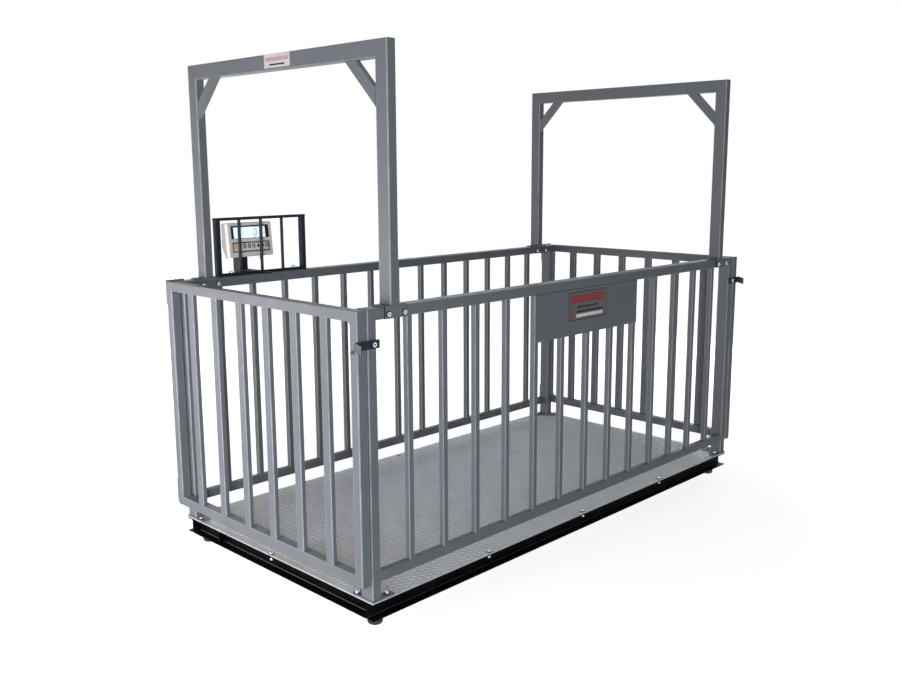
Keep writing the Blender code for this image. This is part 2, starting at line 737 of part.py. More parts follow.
def panel(name, side_y):
    """Side panel: a deep top rail, a shallow bottom rail and the bars, all hollow and welded."""
    reach = FRAME_X - FIT
    low, high = mirrored((-reach, POST_INNER_Y, RAIL_UNDER), (reach, FRAME_Y, CAGE_TOP), 1, side_y)
    bm = bmesh.new()
    verts = bar(bm, "X", low, high)
    mitre(verts, "X", reach, "Z", CAGE_TOP, 1)
    mitre(verts, "X", -reach, "Z", CAGE_TOP, -1)
    made = piece(bm, name, CAGE_PAINT)
    inner_reach = POST_INNER_X - FIT
    rail_low, rail_high = mirrored(
        (-inner_reach, FRAME_Y - BOTTOM_RAIL[0], BOTTOM_RAIL_Z),
        (inner_reach, FRAME_Y, BOTTOM_RAIL_Z + BOTTOM_RAIL[1]),
        1,
        side_y,
    )
    rail = bmesh.new()
    bar(rail, "X", rail_low, rail_high)
    sink = TUBE_WALL + 0.006
    bars = panel_bars(side_y, rail_high[2] - sink, RAIL_UNDER + sink, 0)
    combine(made, "UNION", bars, "bars")
    combine(made, "UNION", rail, "bottom_rail")
    top_hollow = bmesh.new()
    small, large = inside(low, high, "X", 0.010, 0.010)
    verts = block(top_hollow, small, large)
    mitre(verts, "X", large[0], "Z", CAGE_TOP, 1)
    mitre(verts, "X", small[0], "Z", CAGE_TOP, -1)
    combine(made, "DIFFERENCE", top_hollow, "top_hollow")
    low_hollow = bmesh.new()
    block(low_hollow, *inside(rail_low, rail_high, "X", 0.002, 0.002))
    combine(made, "DIFFERENCE", low_hollow, "bottom_hollow")
    bar_hollows = panel_bars(side_y, rail_high[2] - sink, RAIL_UNDER + sink, TUBE_WALL)
    combine(made, "DIFFERENCE", bar_hollows, "bar_hollows")


def sign_plate():
    top = RAIL_UNDER - FIT
    outline = rounded_rectangle((-SIGN_LENGTH / 2, top - SIGN_HEIGHT), (SIGN_LENGTH / 2, top), SIGN_RADIUS)
    bm = bmesh.new()
    back = -BAR_FACE_Y - FIT
    outline_prism(bm, outline, "Y", back - SIGN_THICK, back)
    piece(bm, "sign_plate", CAGE_PAINT)


# Arches
def saddle_section(side_y):
    """A bent strap over the top rail, with a flap down each side of it."""
    half = SADDLE_WALL / 2 + FIT
    bottom = CAGE_TOP - SADDLE_DROP
    top = CAGE_TOP + half
    outer = side_y * (FRAME_Y + half)
    inner = side_y * (POST_INNER_Y - half)
    return sheet_outline([(outer, bottom), (outer, top), (inner, top), (inner, bottom)], SADDLE_BEND, SADDLE_WALL)


def arch_post(name, x, side_y):
    """One leg of an arch, welded onto its saddle and mitred into the beam."""
    half = SADDLE_LENGTH / 2
    bm = bmesh.new()
    outline_prism(bm, saddle_section(side_y), "X", x - half, x + half)
    made = piece(bm, name, CAGE_PAINT)
    wide = ARCH_TUBE[0] / 2
    low, high = mirrored(
        (x - wide, ARCH_INNER_Y, SADDLE_TOP - SADDLE_WALL / 2), (x + wide, FRAME_Y, ARCH_TOP), 1, side_y
    )
    leg = bmesh.new()
    mitre(bar(leg, "Z", low, high), "Z", ARCH_TOP, "Y", side_y * FRAME_Y, 1)
    combine(made, "UNION", leg, "leg")
    small, large = inside(low, high, "Z", 0, 0.010)
    small[2] = SADDLE_TOP
    hollow = bmesh.new()
    mitre(block(hollow, small, large), "Z", large[2], "Y", side_y * FRAME_Y, 1)
    combine(made, "DIFFERENCE", hollow, "hollow")


def arch_beam(name, x):
    wide = ARCH_TUBE[0] / 2
    reach = FRAME_Y - FIT
    low = (x - wide, -reach, ARCH_UNDER)
    high = (x + wide, reach, ARCH_TOP)
    bm = bmesh.new()
    verts = bar(bm, "Y", low, high)
    mitre(verts, "Y", reach, "Z", ARCH_TOP, 1)
    mitre(verts, "Y", -reach, "Z", ARCH_TOP, -1)
    made = piece(bm, name, CAGE_PAINT)
    small, large = inside(low, high, "Y", 0.010, 0.010)
    hollow = bmesh.new()
    verts = block(hollow, small, large)
    mitre(verts, "Y", large[1], "Z", ARCH_TOP, 1)
    mitre(verts, "Y", small[1], "Z", ARCH_TOP, -1)
    combine(made, "DIFFERENCE", hollow, "hollow")


def arch_brace(name, x, side_y):
    """A flat knee brace between beam and leg, flush with the arch's left face."""
    left = x - ARCH_TUBE[0] / 2

    def band(near, far, gap):
        corners = [(gap, near - gap), (gap, far - gap), (far - gap, gap), (near - gap, gap)]
        return [(side_y * (ARCH_INNER_Y - y), ARCH_UNDER - z) for y, z in corners]

    bm = bmesh.new()
    outline_prism(bm, band(BRACE_NEAR, BRACE_FAR, FIT), "X", left, left + BRACE_DEPTH)
    made = piece(bm, name, CAGE_PAINT)
    skin = TUBE_WALL * math.sqrt(2)
    hollow = bmesh.new()
    outline_prism(
        hollow,
        band(BRACE_NEAR + skin, BRACE_FAR - skin, -0.003),
        "X",
        left + TUBE_WALL,
        left + BRACE_DEPTH - TUBE_WALL,
    )
    combine(made, "DIFFERENCE", hollow, "hollow")


# Gates
def section_loop(bm, low, high, along_x, section):
    """A section carried round a rectangle in the Y-Z plane, mitred at its corners.

    Each section point is (inset from the outer rectangle, distance from the inner face).
    """
    rings = []
    for corner_y, corner_z in ((low, high), (high, high), (high, low), (low, low)):
        ring = []
        for inset, out in section:
            y = corner_y[0] + inset if corner_y is low else corner_y[0] - inset
            z = corner_z[1] + inset if corner_z is low else corner_z[1] - inset
            ring.append(bm.verts.new((along_x(out), y, z)))
        rings.append(ring)
    for n, ring in enumerate(rings):
        following = rings[(n + 1) % 4]
        for k, here in enumerate(ring):
            after = (k + 1) % len(ring)
            bm.faces.new((here, ring[after], following[after], following[k]))


def gate_frame_section(wall):
    if wall:
        return [(wall, wall), (wall, GATE_TUBE - wall), (GATE_TUBE - wall, GATE_TUBE - wall), (GATE_TUBE - wall, wall)]
    return rounded_rectangle((0, 0), (GATE_TUBE, GATE_TUBE), TUBE_RADIUS, 2)


def gate_bars(side, wall):
    """The upright bars of one gate, drawn in by a wall thickness."""
    thick, wide = GATE_BAR
    face = GATE_OUTER_X - GATE_BAR_SET_BACK
    sink = TUBE_WALL + 0.006
    low_z = GATE_BOTTOM + GATE_TUBE - sink
    high_z = CAGE_TOP - GATE_TUBE + sink
    bm = bmesh.new()
    for n in range(GATE_BAR_COUNT):
        y = (n - (GATE_BAR_COUNT - 1) / 2) * BAR_PITCH
        low, high = mirrored(
            (face - thick + wall, y - wide / 2 + wall, low_z), (face - wall, y + wide / 2 - wall, high_z), side
        )
        bar(bm, "Z", low, high, 0 if wall else BAR_RADIUS)
    return bm


def gate(name, side):
    """End gate: a mitred frame with bars and hinge leaves, hung outside the far post."""
    pivot = (side * HINGE_X, HINGE_Y, 0)
    low = (-FRAME_Y, GATE_BOTTOM)
    high = (FRAME_Y, CAGE_TOP)

    def along_x(out):
        return side * (GATE_INNER_X + out)

    bm = bmesh.new()
    section_loop(bm, low, high, along_x, gate_frame_section(0))
    made = piece(bm, name, CAGE_PAINT, pivot)
    combine(made, "UNION", gate_bars(side, 0), "bars", pivot)
    hollow = bmesh.new()
    section_loop(hollow, low, high, along_x, gate_frame_section(TUBE_WALL))
    combine(made, "DIFFERENCE", hollow, "frame_hollow", pivot)
    combine(made, "DIFFERENCE", gate_bars(side, TUBE_WALL), "bar_hollows", pivot)
    ends = bmesh.new()
    for side_y in (-1, 1):
        stile = mirrored(
            (GATE_INNER_X + TUBE_WALL, FRAME_Y - GATE_TUBE + TUBE_WALL, GATE_BOTTOM - 0.002),
            (GATE_OUTER_X - TUBE_WALL, FRAME_Y - TUBE_WALL, GATE_BOTTOM + GATE_TUBE / 2),
            side,
            side_y,
        )
        block(ends, *stile)
    combine(made, "DIFFERENCE", ends, "stile_ends", pivot)
    add_leaves(made, side, True, pivot)


def hinge_pin(name, side, bottom):
    bm = bmesh.new()
    radius, thick = PIN_HEAD
    profile = [
        (0, -0.004),
        (PIN_RADIUS - 0.0008, -0.004),
        (PIN_RADIUS, -0.003),
        (PIN_RADIUS, LEAF_HEIGHT + FIT),
        (radius, LEAF_HEIGHT + FIT),
        (radius, LEAF_HEIGHT + FIT + thick - 0.001),
        (radius - 0.001, LEAF_HEIGHT + FIT + thick),
        (0, LEAF_HEIGHT + FIT + thick),
    ]
    turned(bm, profile, (side * HINGE_X, HINGE_Y, bottom), 12)
    piece(bm, name, ZINC)


# Latches
def latch(name, side):
    """A flat strap that pivots on the near post, its free end bent out into a finger lip."""
    face = LATCH_FACE_Y - LATCH_THICK / 2
    tip = LATCH_TIP_X - LATCH_THICK / 2
    path = [(LATCH_X - LATCH_TAIL, face), (tip, face), (tip, LATCH_OUT_Y)]
    outline = sheet_outline([(side * x, y) for x, y in path], LATCH_BEND, LATCH_THICK, 4)
    bm = bmesh.new()
    half = LATCH_HEIGHT / 2
    outline_prism(bm, outline, "Z", LATCH_Z - half, LATCH_Z + half)
    for v in bm.verts:
        past = max(0, face - LATCH_THICK / 2 - v.co.y)
        v.co.z -= LATCH_DROOP * past
    made = piece(bm, name, DARK_PAINT, (side * LATCH_X, face, LATCH_Z))
    hole = bmesh.new()
    rod(
        hole,
        "Y",
        (side * LATCH_X, LATCH_Z),
        LATCH_BOLT_RADIUS + 2 * RUNNING,
        face - LATCH_THICK,
        face + LATCH_THICK,
    )
    combine(made, "DIFFERENCE", hole, "pivot_hole", (side * LATCH_X, face, LATCH_Z))


def latch_bolt(name, side):
    """Hex bolt with a collar behind the strap and a shank into the post."""
    radius, thick = LATCH_BOLT_HEAD
    centre = (side * LATCH_X, LATCH_Z)
    outer = LATCH_FACE_Y - LATCH_THICK - FIT
    bm = bmesh.new()
    rod(bm, "Y", centre, LATCH_BOLT_RADIUS, outer - 0.001, -FRAME_Y + 0.012)
    made = piece(bm, name, ZINC)
    head = bmesh.new()
    rod(head, "Y", centre, radius, outer - thick, outer, 6)
    combine(made, "UNION", head, "head")
    collar = bmesh.new()
    rod(collar, "Y", centre, LATCH_COLLAR_RADIUS, LATCH_FACE_Y + FIT, -FRAME_Y - FIT)
    combine(made, "UNION", collar, "collar")


# Guard and indicator column
def indicator_guard():
    """Open frame in front of the indicator: two tubes, a strip, a shoe and round rods."""
    base = CAGE_TOP + FIT
    shoe_under = base + ARM_THICK + FIT
    top = CAGE_TOP + GUARD_HEIGHT
    half = GUARD_POST / 2
    left = GUARD_X - GUARD_WIDTH / 2
    right = GUARD_X + GUARD_WIDTH / 2
    front = GUARD_Y - half
    back = GUARD_Y + half
    bm = bmesh.new()
    bar(bm, "X", (left, front, top - GUARD_STRIP), (right, back, top), 0.002, 1)
    made = piece(bm, "indicator_guard", DARK_PAINT)
    posts = bmesh.new()
    hollows = bmesh.new()
    for start in (left, right - GUARD_POST):
        low = (start, front, base)
        high = (start + GUARD_POST, back, top - GUARD_STRIP / 2)
        bar(posts, "Z", low, high, BAR_RADIUS)
        small, large = inside(low, high, "Z", 0.002, 0)
        large[2] = top - GUARD_STRIP
        block(hollows, small, large)
    combine(made, "UNION", posts, "posts")
    combine(made, "DIFFERENCE", hollows, "post_hollows")
    shoe = bmesh.new()
    wall = TUBE_WALL / 2
    block(
        shoe,
        (left + GUARD_POST - wall, front + BAR_RADIUS, shoe_under),
        (right - GUARD_POST + wall, back - BAR_RADIUS, shoe_under + GUARD_SHOE),
    )
    combine(made, "UNION", shoe, "shoe")
    rods = bmesh.new()
    pitch = (GUARD_WIDTH - GUARD_POST) / (GUARD_ROD_COUNT + 1)
    for n in range(GUARD_ROD_COUNT):
        x = left + half + (n + 1) * pitch
        rod(rods, "Z", (x, GUARD_Y), GUARD_ROD_RADIUS, shoe_under + GUARD_SHOE / 2, top - GUARD_STRIP / 2, 12)
    combine(made, "UNION", rods, "rods")


def indicator_column():
    """A flat arm out from the far rail, a tube column on it and the plate that takes the housing."""
    x = IND_ORIGIN[0]
    base = CAGE_TOP + FIT
    arm_top = base + ARM_THICK
    half = COLUMN_SIZE / 2
    outer = COLUMN_Y + half
    bm = bmesh.new()
    block(bm, (x - ARM_WIDTH / 2, ARM_START_Y, base), (x + ARM_WIDTH / 2, outer, arm_top))
    made = piece(bm, "indicator_column", DARK_PAINT)
    low = (x - half, COLUMN_Y - half, base + ARM_THICK / 2)
    high = (x + half, outer, base + COLUMN_HEIGHT)
    column = bmesh.new()
    bar(column, "Z", low, high)
    combine(made, "UNION", column, "column")
    small, large = inside(low, high, "Z", 0, 0.002)
    small[2] = arm_top
    hollow = bmesh.new()
    block(hollow, small, large)
    combine(made, "DIFFERENCE", hollow, "hollow")
    return made


# Indicator
def indicator_frame():
    """An empty that carries the indicator's own tilted frame."""
    made = bpy.data.objects.new("indicator_frame", None)
    PARTS.objects.link(made)
    made.parent = DECK_CENTRE
    made.location = IND_ORIGIN
    made.rotation_euler = (-IND_LEAN, 0, 0)
    return made


def on_face(made, frame):
    made.parent = frame
    for step in made.modifiers:
        step.object.parent = frame
    return made


def housing_section(wall):
    """Side outline of the rear housing behind the bezel: (depth, height) points."""
    front = BEZEL_DEPTH + FIT - (0.002 if wall else 0)
    kink_depth, kink_height = HOUSING_KINK
    return [
        (front, wall),
        (HOUSING_FOOT_DEPTH - wall, wall),
        (kink_depth - wall, kink_height),
        (HOUSING_TOP_DEPTH - wall, IND_HEIGHT - wall),
        (front, IND_HEIGHT - wall),
    ]


def indicator_housing(frame):
    half = IND_WIDTH / 2
    bm = bmesh.new()
    outline_prism(bm, housing_section(0), "X", -half, half)
    long_edges = [
        e for e in bm.edges
        if min(v.co.y for v in e.verts) > BEZEL_DEPTH + 0.010
    ]
    bmesh.ops.bevel(bm, geom=long_edges, offset=0.005, offset_type="OFFSET", segments=2, profile=0.5, affect="EDGES")
    made = piece(bm, "indicator_housing", HOUSING_PLASTIC)
    hollow = bmesh.new()
    outline_prism(hollow, housing_section(HOUSING_WALL), "X", -half + HOUSING_WALL, half - HOUSING_WALL)
    combine(made, "DIFFERENCE", hollow, "hollow")
    gland = bmesh.new()
    depth = (BEZEL_DEPTH + HOUSING_FOOT_DEPTH) / 2
    rod(gland, "Z", (0.070, depth), GLAND_RADIUS, -GLAND_LENGTH, HOUSING_WALL / 2, 6)
    combine(made, "UNION", gland, "gland")
    on_face(made, frame)


def indicator_bezel(frame):
    """Front shell: chamfered all round, with the window opening and the keypad's opening."""
    half = IND_WIDTH / 2
    bm = bmesh.new()
    block(bm, (-half, 0, 0), (half, BEZEL_DEPTH, IND_HEIGHT))
    round_edges(bm, bm.verts[:], "Y", BEZEL_CORNER, 3)
    rim = [e for e in bm.edges if all(v.co.y < 1e-6 for v in e.verts)]
    bmesh.ops.bevel(bm, geom=rim, offset=BEZEL_RIM, offset_type="OFFSET", segments=2, profile=0.5, affect="EDGES")
    made = piece(bm, "indicator_bezel", BEZEL_PLASTIC)
    cavity = bmesh.new()
    block(
        cavity,
        (-half + HOUSING_WALL * 2, 0.006, HOUSING_WALL * 2),
        (half - HOUSING_WALL * 2, BEZEL_DEPTH + 0.002, IND_HEIGHT - HOUSING_WALL * 2),
    )
    combine(made, "DIFFERENCE", cavity, "cavity")
    openings = bmesh.new()
    for reach, heights in ((WINDOW_HALF, WINDOW_Z), (KEYPAD_HALF, KEYPAD_Z)):
        block(openings, (-reach, -0.002, heights[0]), (reach, 0.008, heights[1]))
    combine(made, "DIFFERENCE", openings, "openings")
    on_face(made, frame)


def display(frame):
    """Window pane, and the display module that stands behind it."""
    bm = bmesh.new()
    block(
        bm,
        (-WINDOW_HALF + FIT, FACE_RECESS, WINDOW_Z[0] + FIT),
        (WINDOW_HALF - FIT, FACE_RECESS + WINDOW_THICK, WINDOW_Z[1] - FIT),
    )
    on_face(piece(bm, "display_window", WINDOW_CLEAR), frame)
    bm = bmesh.new()
    back = FACE_RECESS + WINDOW_THICK + FIT
    block(bm, (LCD_X[0], back, LCD_Z[0]), (LCD_X[1], back + LCD_DEPTH, LCD_Z[1]))
    on_face(piece(bm, "display_module", LCD_GLASS), frame)


def key_places():
    first = -(KEY_COUNT - 1) / 2 * KEY_PITCH
    return [first + n * KEY_PITCH for n in range(KEY_COUNT)]


def keypad(frame):
    """Keypad plate with an opening for each key, and the keys that slide in them."""
    wide, tall = KEY_SIZE
    bm = bmesh.new()
    block(
        bm,
        (-KEYPAD_HALF + FIT, FACE_RECESS / 2, KEYPAD_Z[0] + FIT),
        (KEYPAD_HALF - FIT, FACE_RECESS / 2 + KEYPAD_THICK, KEYPAD_Z[1] - FIT),
    )
    made = piece(bm, "keypad", KEYPAD_FILM)
    holes = bmesh.new()
    for x in key_places():
        low = (x - wide / 2 - FIT, KEY_Z - tall / 2 - FIT)
        high = (x + wide / 2 + FIT, KEY_Z + tall / 2 + FIT)
        outline_prism(holes, rounded_rectangle(low, high, 0.003 + FIT, 2), "Y", -0.002, KEYPAD_THICK + 0.002)
    combine(made, "DIFFERENCE", holes, "key_holes")
    on_face(made, frame)
    front = FACE_RECESS / 2 - KEY_PROUD
    for n, x in enumerate(key_places()):
        outline = rounded_rectangle((x - wide / 2, KEY_Z - tall / 2), (x + wide / 2, KEY_Z + tall / 2), 0.003, 2)
        bm = bmesh.new()
        outline_prism(bm, outline, "Y", front, front + KEY_DEPTH)
        rim = [e for e in bm.edges if all(v.co.y < front + 1e-6 for v in e.verts)]
        bmesh.ops.bevel(bm, geom=rim, offset=0.0005, offset_type="OFFSET", segments=1, profile=0.5, affect="EDGES")
        paint = KEY_ORANGE if n == 0 else KEY_FILM
        on_face(piece(bm, f"key_{n + 1}", paint, (x, front, KEY_Z)), frame)


def head_plate(column):
    """The plate between column and housing, tilted with the indicator and welded to the column."""
    wide, tall = HEAD_PLATE
    bm = bmesh.new()
    block(
        bm,
        (GUARD_X - wide / 2, HEAD_PLATE_Y, HEAD_PLATE_Z - tall / 2),
        (GUARD_X + wide / 2, COLUMN_Y - COLUMN_SIZE / 2 + TUBE_WALL / 2, HEAD_PLATE_Z + tall / 2),
    )
    combine(column, "UNION", bm, "head_plate")


def build():
    deck_plate()
    for name, side in (("near", -1), ("far", 1)):
        long_channel(f"channel_{name}", side)
        panel(f"panel_{name}", side)
    for name, side in (("left", -1), ("right", 1)):
        end_channel(f"channel_{name}", side)
        cross_member(f"cross_member_{name}", side * CROSS_MEMBER_X)
        arch_beam(f"arch_{name}_beam", side * ARCH_X)
        gate(f"gate_{name}", side)
        latch(f"latch_{name}", side)
        latch_bolt(f"latch_bolt_{name}", side)
        for height, bottom in hinge_heights().items():
            hinge_pin(f"hinge_pin_{name}_{height}", side, bottom)
        for across, side_y in (("near", -1), ("far", 1)):
            load_cell(f"load_cell_{across}_{name}", side, side_y)
            levelling_foot(f"foot_{across}_{name}", side, side_y)
            post(f"post_{across}_{name}", side, side_y)
            arch_post(f"arch_{name}_leg_{across}", side * ARCH_X, side_y)
            arch_brace(f"arch_{name}_brace_{across}", side * ARCH_X, side_y)
    junction_box()
    sign_plate()
    indicator_guard()
    head_plate(indicator_column())
    frame = indicator_frame()
    indicator_housing(frame)
    indicator_bezel(frame)
    display(frame)
    keypad(frame)


build()
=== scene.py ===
"""Looks of the walk-through livestock scale: its paints, tread, bolts, welds, display and labels.

Axes: X runs along the walk-through direction, Y across it, Z up. The near side is -Y.
"""

import math

import bmesh
import bpy
from mathutils import Matrix, Vector


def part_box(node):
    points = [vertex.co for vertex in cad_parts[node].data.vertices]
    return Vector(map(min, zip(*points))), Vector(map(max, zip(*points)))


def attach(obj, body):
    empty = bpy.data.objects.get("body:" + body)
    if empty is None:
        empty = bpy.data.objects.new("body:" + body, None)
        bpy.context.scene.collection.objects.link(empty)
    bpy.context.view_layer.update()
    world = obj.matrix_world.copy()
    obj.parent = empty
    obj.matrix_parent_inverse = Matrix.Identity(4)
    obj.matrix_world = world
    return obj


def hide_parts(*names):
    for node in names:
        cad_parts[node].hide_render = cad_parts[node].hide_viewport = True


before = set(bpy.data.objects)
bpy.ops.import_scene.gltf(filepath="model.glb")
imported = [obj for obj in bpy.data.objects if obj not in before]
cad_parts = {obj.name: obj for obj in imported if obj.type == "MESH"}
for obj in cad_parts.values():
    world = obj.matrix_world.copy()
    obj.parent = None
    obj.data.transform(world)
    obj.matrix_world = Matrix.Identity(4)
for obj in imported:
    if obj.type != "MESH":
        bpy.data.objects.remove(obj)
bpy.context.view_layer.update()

# Deck and cage, read from the frame
DECK_LOW, DECK_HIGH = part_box("deck_plate")
DECK_TOP = DECK_HIGH.z
MIDDLE_Y = (DECK_LOW.y + DECK_HIGH.y) / 2
HALF_LENGTH = DECK_HIGH.x
HALF_WIDTH = (DECK_HIGH.y - DECK_LOW.y) / 2
RAIL_LOW, RAIL_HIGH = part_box("panel_near")
CAGE_TOP = RAIL_HIGH.z
END_SIGN = {"left": -1, "right": 1}

# Tread: lugs in rows across X and Y, each a mirror of its neighbours
LUG_LENGTH = 0.0250
LUG_WIDTH = 0.0074
LUG_HEIGHT = 0.0017
LUG_SINK = 0.0002
LUG_SIDES = 8
LUG_STEP = (0.0280, 0.0132)
LUG_ORIGIN = (-0.0088, 0.0026)
LUG_TURN = math.radians(25)
LUG_CROWN = (0.82, 0.50)
LUG_SHOULDER = 0.0002
LUG_FROM_EDGE = (0.0105, 0.0062)
FOOT_PLATE_REACH = (0.108, 0.118)
FOOT_PLATE_LEG = (0.045, 0.039)

# Bolts: a head's radius, its height and its washer's radius
DECK_BOLT = (0.0072, 0.0055, 0.0100)
PLATE_BOLT = (0.0085, 0.0080, 0.0145)
SADDLE_BOLT = (0.0088, 0.0060, 0.0125)
HEAD_TURN = 0.3
HEAD_EDGE = 0.0011
NUT_TURN = 0.8
DECK_BOLT_STEM = 0.022
STEM_SIZE = 0.5
STEM_PAST_NUT = 0.003
WASHER_THICK = 0.0018
WASHER_EDGE = 0.0005
# A socket is a dark disc on a bolt head: painted shade in place of a recess.
SOCKET_SIZE = 0.42
SOCKET_SINK = 0.0004
SOCKET_SHOWS = 0.0001
DECK_BOLT_X = 0.625
DECK_BOLT_INSET = (0.007, 0.015)
PLATE_BOLTS = ((1.171, 0.607), (1.240, 0.530))
PLATE_TOP = 0.0063
SADDLE_BOLT_X = 0.037
SADDLE_BOLT_BELOW = 0.024

# Labels: an area is a span across and a span up from the deck, and layers are in film thicknesses
LABEL_THICK = 0.0004
GROUND_LAYER = 1.0
PRINT_LAYER = 1.4
TOP_LAYER = 1.8
BEAM_LABEL = ((-0.092, 0.069), (1.887, 1.938))
BEAM_BAND = ((-0.084, 0.060), (1.911, 1.925))
BEAM_BAR = ((-0.058, 0.036), (1.895, 1.901))
SIGN_LABEL = ((-0.1435, 0.1255), (0.877, 0.999))
SIGN_RIM = 0.0035
SIGN_BAND = ((-0.130, 0.112), (0.950, 0.985))
SIGN_STRIP = ((-0.092, 0.096), (0.889, 0.903))
SIGN_TAB = ((-0.128, -0.114), (0.886, 0.921))
SIGN_BARS = (((-0.084, 0.060), (0.929, 0.937)), ((-0.090, 0.097), (0.909, 0.918)))

# Painted shadows in gaps, and painted highlights along the channels' bends
SIGN_GAP_SHADOW = 0.0016
SADDLE_GAP_SHADOW = 0.0018
SADDLE_GAP_SHADOW_SINK = 0.0003
SADDLE_PLATE = 0.004
SADDLE_TALL = 0.043
CHANNEL_MOUTH = 0.035
CHANNEL_FLOOR = 0.065
CHANNEL_WALL = 0.002
CHANNEL_END = 0.001
# Width and rounding of the painted bend highlight in the left and the near channel.
LEFT_BEND_HIGHLIGHT = (0.0020, 0.0006)
NEAR_BEND_HIGHLIGHT = (0.0020 / 3, 0.0002)

# Welds
BEAD_RADIUS = 0.0026
FINE_BEAD = 0.0018
BEAD_START = 0.6
BEAD_SIZES = (1.65, 0.90, 1.12, 0.90, 0.62)
FRAME_TUBE = 0.040
BAR_PITCH = 0.175
PANEL_BARS = 13
PANEL_BAR = 0.025
PANEL_BEAD = (0.005, 0.026)
BEHIND_PLATE = 0.008
GATE_BARS = 6
GATE_BAR = 0.020
GATE_BEAD_INSET = 0.004
CORNER_FILLET = 0.007
FILLET_HOLLOW = 0.62
FILLET_INSET = (0.003, 0.001)
LEG_Y = (0.562, 0.622)
LEG_BEAD_INSET = 0.002
SADDLE_TOP = 0.0453
BRACE_REACH = (0.100, 0.158)
BRACE_BEAD = (0.001, 0.019)
POST_X = (1.207, 1.246)
POST_Y = (0.562, 0.621)

# Latches
LIP_REACH = 0.007
LIP_WIDTH = 0.030
LIP_DROOP = 0.22
LIP_TOP = 0.002
LIP_BACK = 0.0005
LIP_EDGE = 0.0012
STRAP_THICK = 0.0045
STRAP_HEIGHT = 0.030
STRAP_EDGE = 0.0008
# The latch bolt's socket is a dark disc: painted shade.
LATCH_SOCKET = 0.0042
LATCH_SOCKET_SHOWS = 0.0003

# Gate peg: its collar's radii are in peg radii
PEG_Y = -0.600
PEG_Z = 0.908
PEG_RADIUS = 0.0055
PEG_LENGTH = 0.012
PEG_SINK = 0.001
PEG_NOSE = 0.6
PEG_COLLAR = (1.5, 1.25)
PEG_COLLAR_TALL = 0.0022

# Guard and column: the rings' offsets are in ring radii
GUARD_INSET = 0.002
GUARD_EDGE = 0.001
GUARD_FOOT_TALL = 0.0106
GUARD_ROD_X = (-0.9317, -0.8180, -0.7042)
GUARD_SLEEVE = 0.0072
GUARD_STRIP = 0.0125
GUARD_STRIP_SINK = 0.0005
COLUMN_STUB = 0.048
COLUMN_BELOW = 0.028
COLUMN_LAP = 0.0003
COLUMN_INSET = 0.001
COLUMN_EDGE = 0.004
RING_X = (-0.9904, -0.6547)
RING_RADIUS = 0.0072
RING_WIRE = 0.0020
RING_COLLAR = (0.0050, 0.0020)
RING_COLLAR_TAPER = 0.7
RING_OFFSET = (1.6, 0.2)
RING_AXIS = (-0.75, -0.6, 0.25)

# Junction box screws
SCREW_INSET = 0.008
SCREW_RADII = (0.0036, 0.0026)
SCREW_TALL = 0.0018

# Indicator face: u runs across it, v up it, from the middle of its lower edge
FACE_AT = Vector((-0.818, 0.60605, 1.234))
FACE_LEAN = math.radians(6.1)
WINDOW_U = 0.1012
WINDOW_V = (0.0832, 0.1423)
WINDOW_DEPTH = 0.0012
LCD_U = (-0.088, 0.083)
LCD_V = (0.085, 0.1355)
LCD_DEPTH = 0.0035
DIGIT_U = (0.0225, 0.0385)
DIGIT_V = (0.091, 0.127)
DIGIT_STROKE = 0.0022
FILM_U = 0.0995
FILM_V = (0.0223, 0.0677)
FILM_DEPTH = 0.0006
FILM_BORDER = 0.0050
KEY_V = 0.049
KEY_FRONT = -0.0004
INK_THICK = 0.00015
MARK_SIZE = 1.24
ARROW_HEAD = 0.0082
ARROW_RISE = 0.0022
ARROW_TAIL = 0.0090
ARROW_STROKE = 0.0024

# Camera, in the part's own frame
CAMERA_AT = (-3.2819, -3.09505, 1.6364)
CAMERA_YAW = 45.656
CAMERA_PITCH = -10.176
CAMERA_ROLL = -0.257
FOCAL_PIXELS = 946.43
MIDDLE_PIXEL = (454.1, 336.3)
PHOTO_SIZE = (900, 675)
SENSOR = 36.0

# Studio: each lamp's place, aim, size, power and colour
LAMPS = {
    "far_window": ((-4.3, 4.1, 0.55), (0, 0, 0.8), (3.0, 1.1), 78, (1.0, 0.84, 0.81)),
    "gate_panel": ((-2.6, 0.3, 1.05), (-1.2, 0.1, 1.05), (1.8, 0.5), 21, (1.0, 0.95, 0.97)),
    "gate_low_panel": ((-2.5, -0.1, 0.25), (-1.2, 0, 0.35), (1.8, 0.3), 8.5, (0.84, 0.92, 1.0)),
    "door_behind": ((-4.4, -4.4, 1.5), (-0.8, -0.5, 0.9), (0.8, 2.0), 179, (0.96, 0.99, 1.0)),
    "back_wall": ((3.5, 3.5, 2.0), (0, 0, 0.1), (2.5, 1.2), 16, (0.62, 0.82, 1.0)),
    "right_side": ((5.0, 0.6, 0.9), (0.5, -0.1, 0.9), (2.5, 1.2), 50, (0.96, 0.98, 1.0)),
    "far_side": ((0.3, 5.0, 0.9), (0, 0.3, 0.9), (3.0, 1.2), 50, (1.0, 0.98, 0.96)),
}
SOFT_LIGHT = 0.01
SOFT_COLOUR = (0.90, 0.94, 1.0)
FLOOR_SIZE = 30.0
FLOOR_COLOUR = (0.80, 0.80, 0.80)
FLOOR_SHADOW_REACH = (1.5, 2.4)
FLOOR_SHADOW_WHITE = 0.78

# Paint, painted highlights on rounded corners, and dust: dust starts at one height and is full at the
# other, walked-in dust so along X
ORANGE_PEEL = 0.00008
LEVEL_CORNER_HIGHLIGHT = 0.40
FILM_GLOSS = 0.15
DUST = (0.30, 0.28, 0.25)
DUST_HEIGHTS = (0.45, 0.10)
WALKED_IN = 0.55
WALKED_X = (-0.55, -1.12)
WALKED_COLOUR = (0.44, 0.385, 0.34)


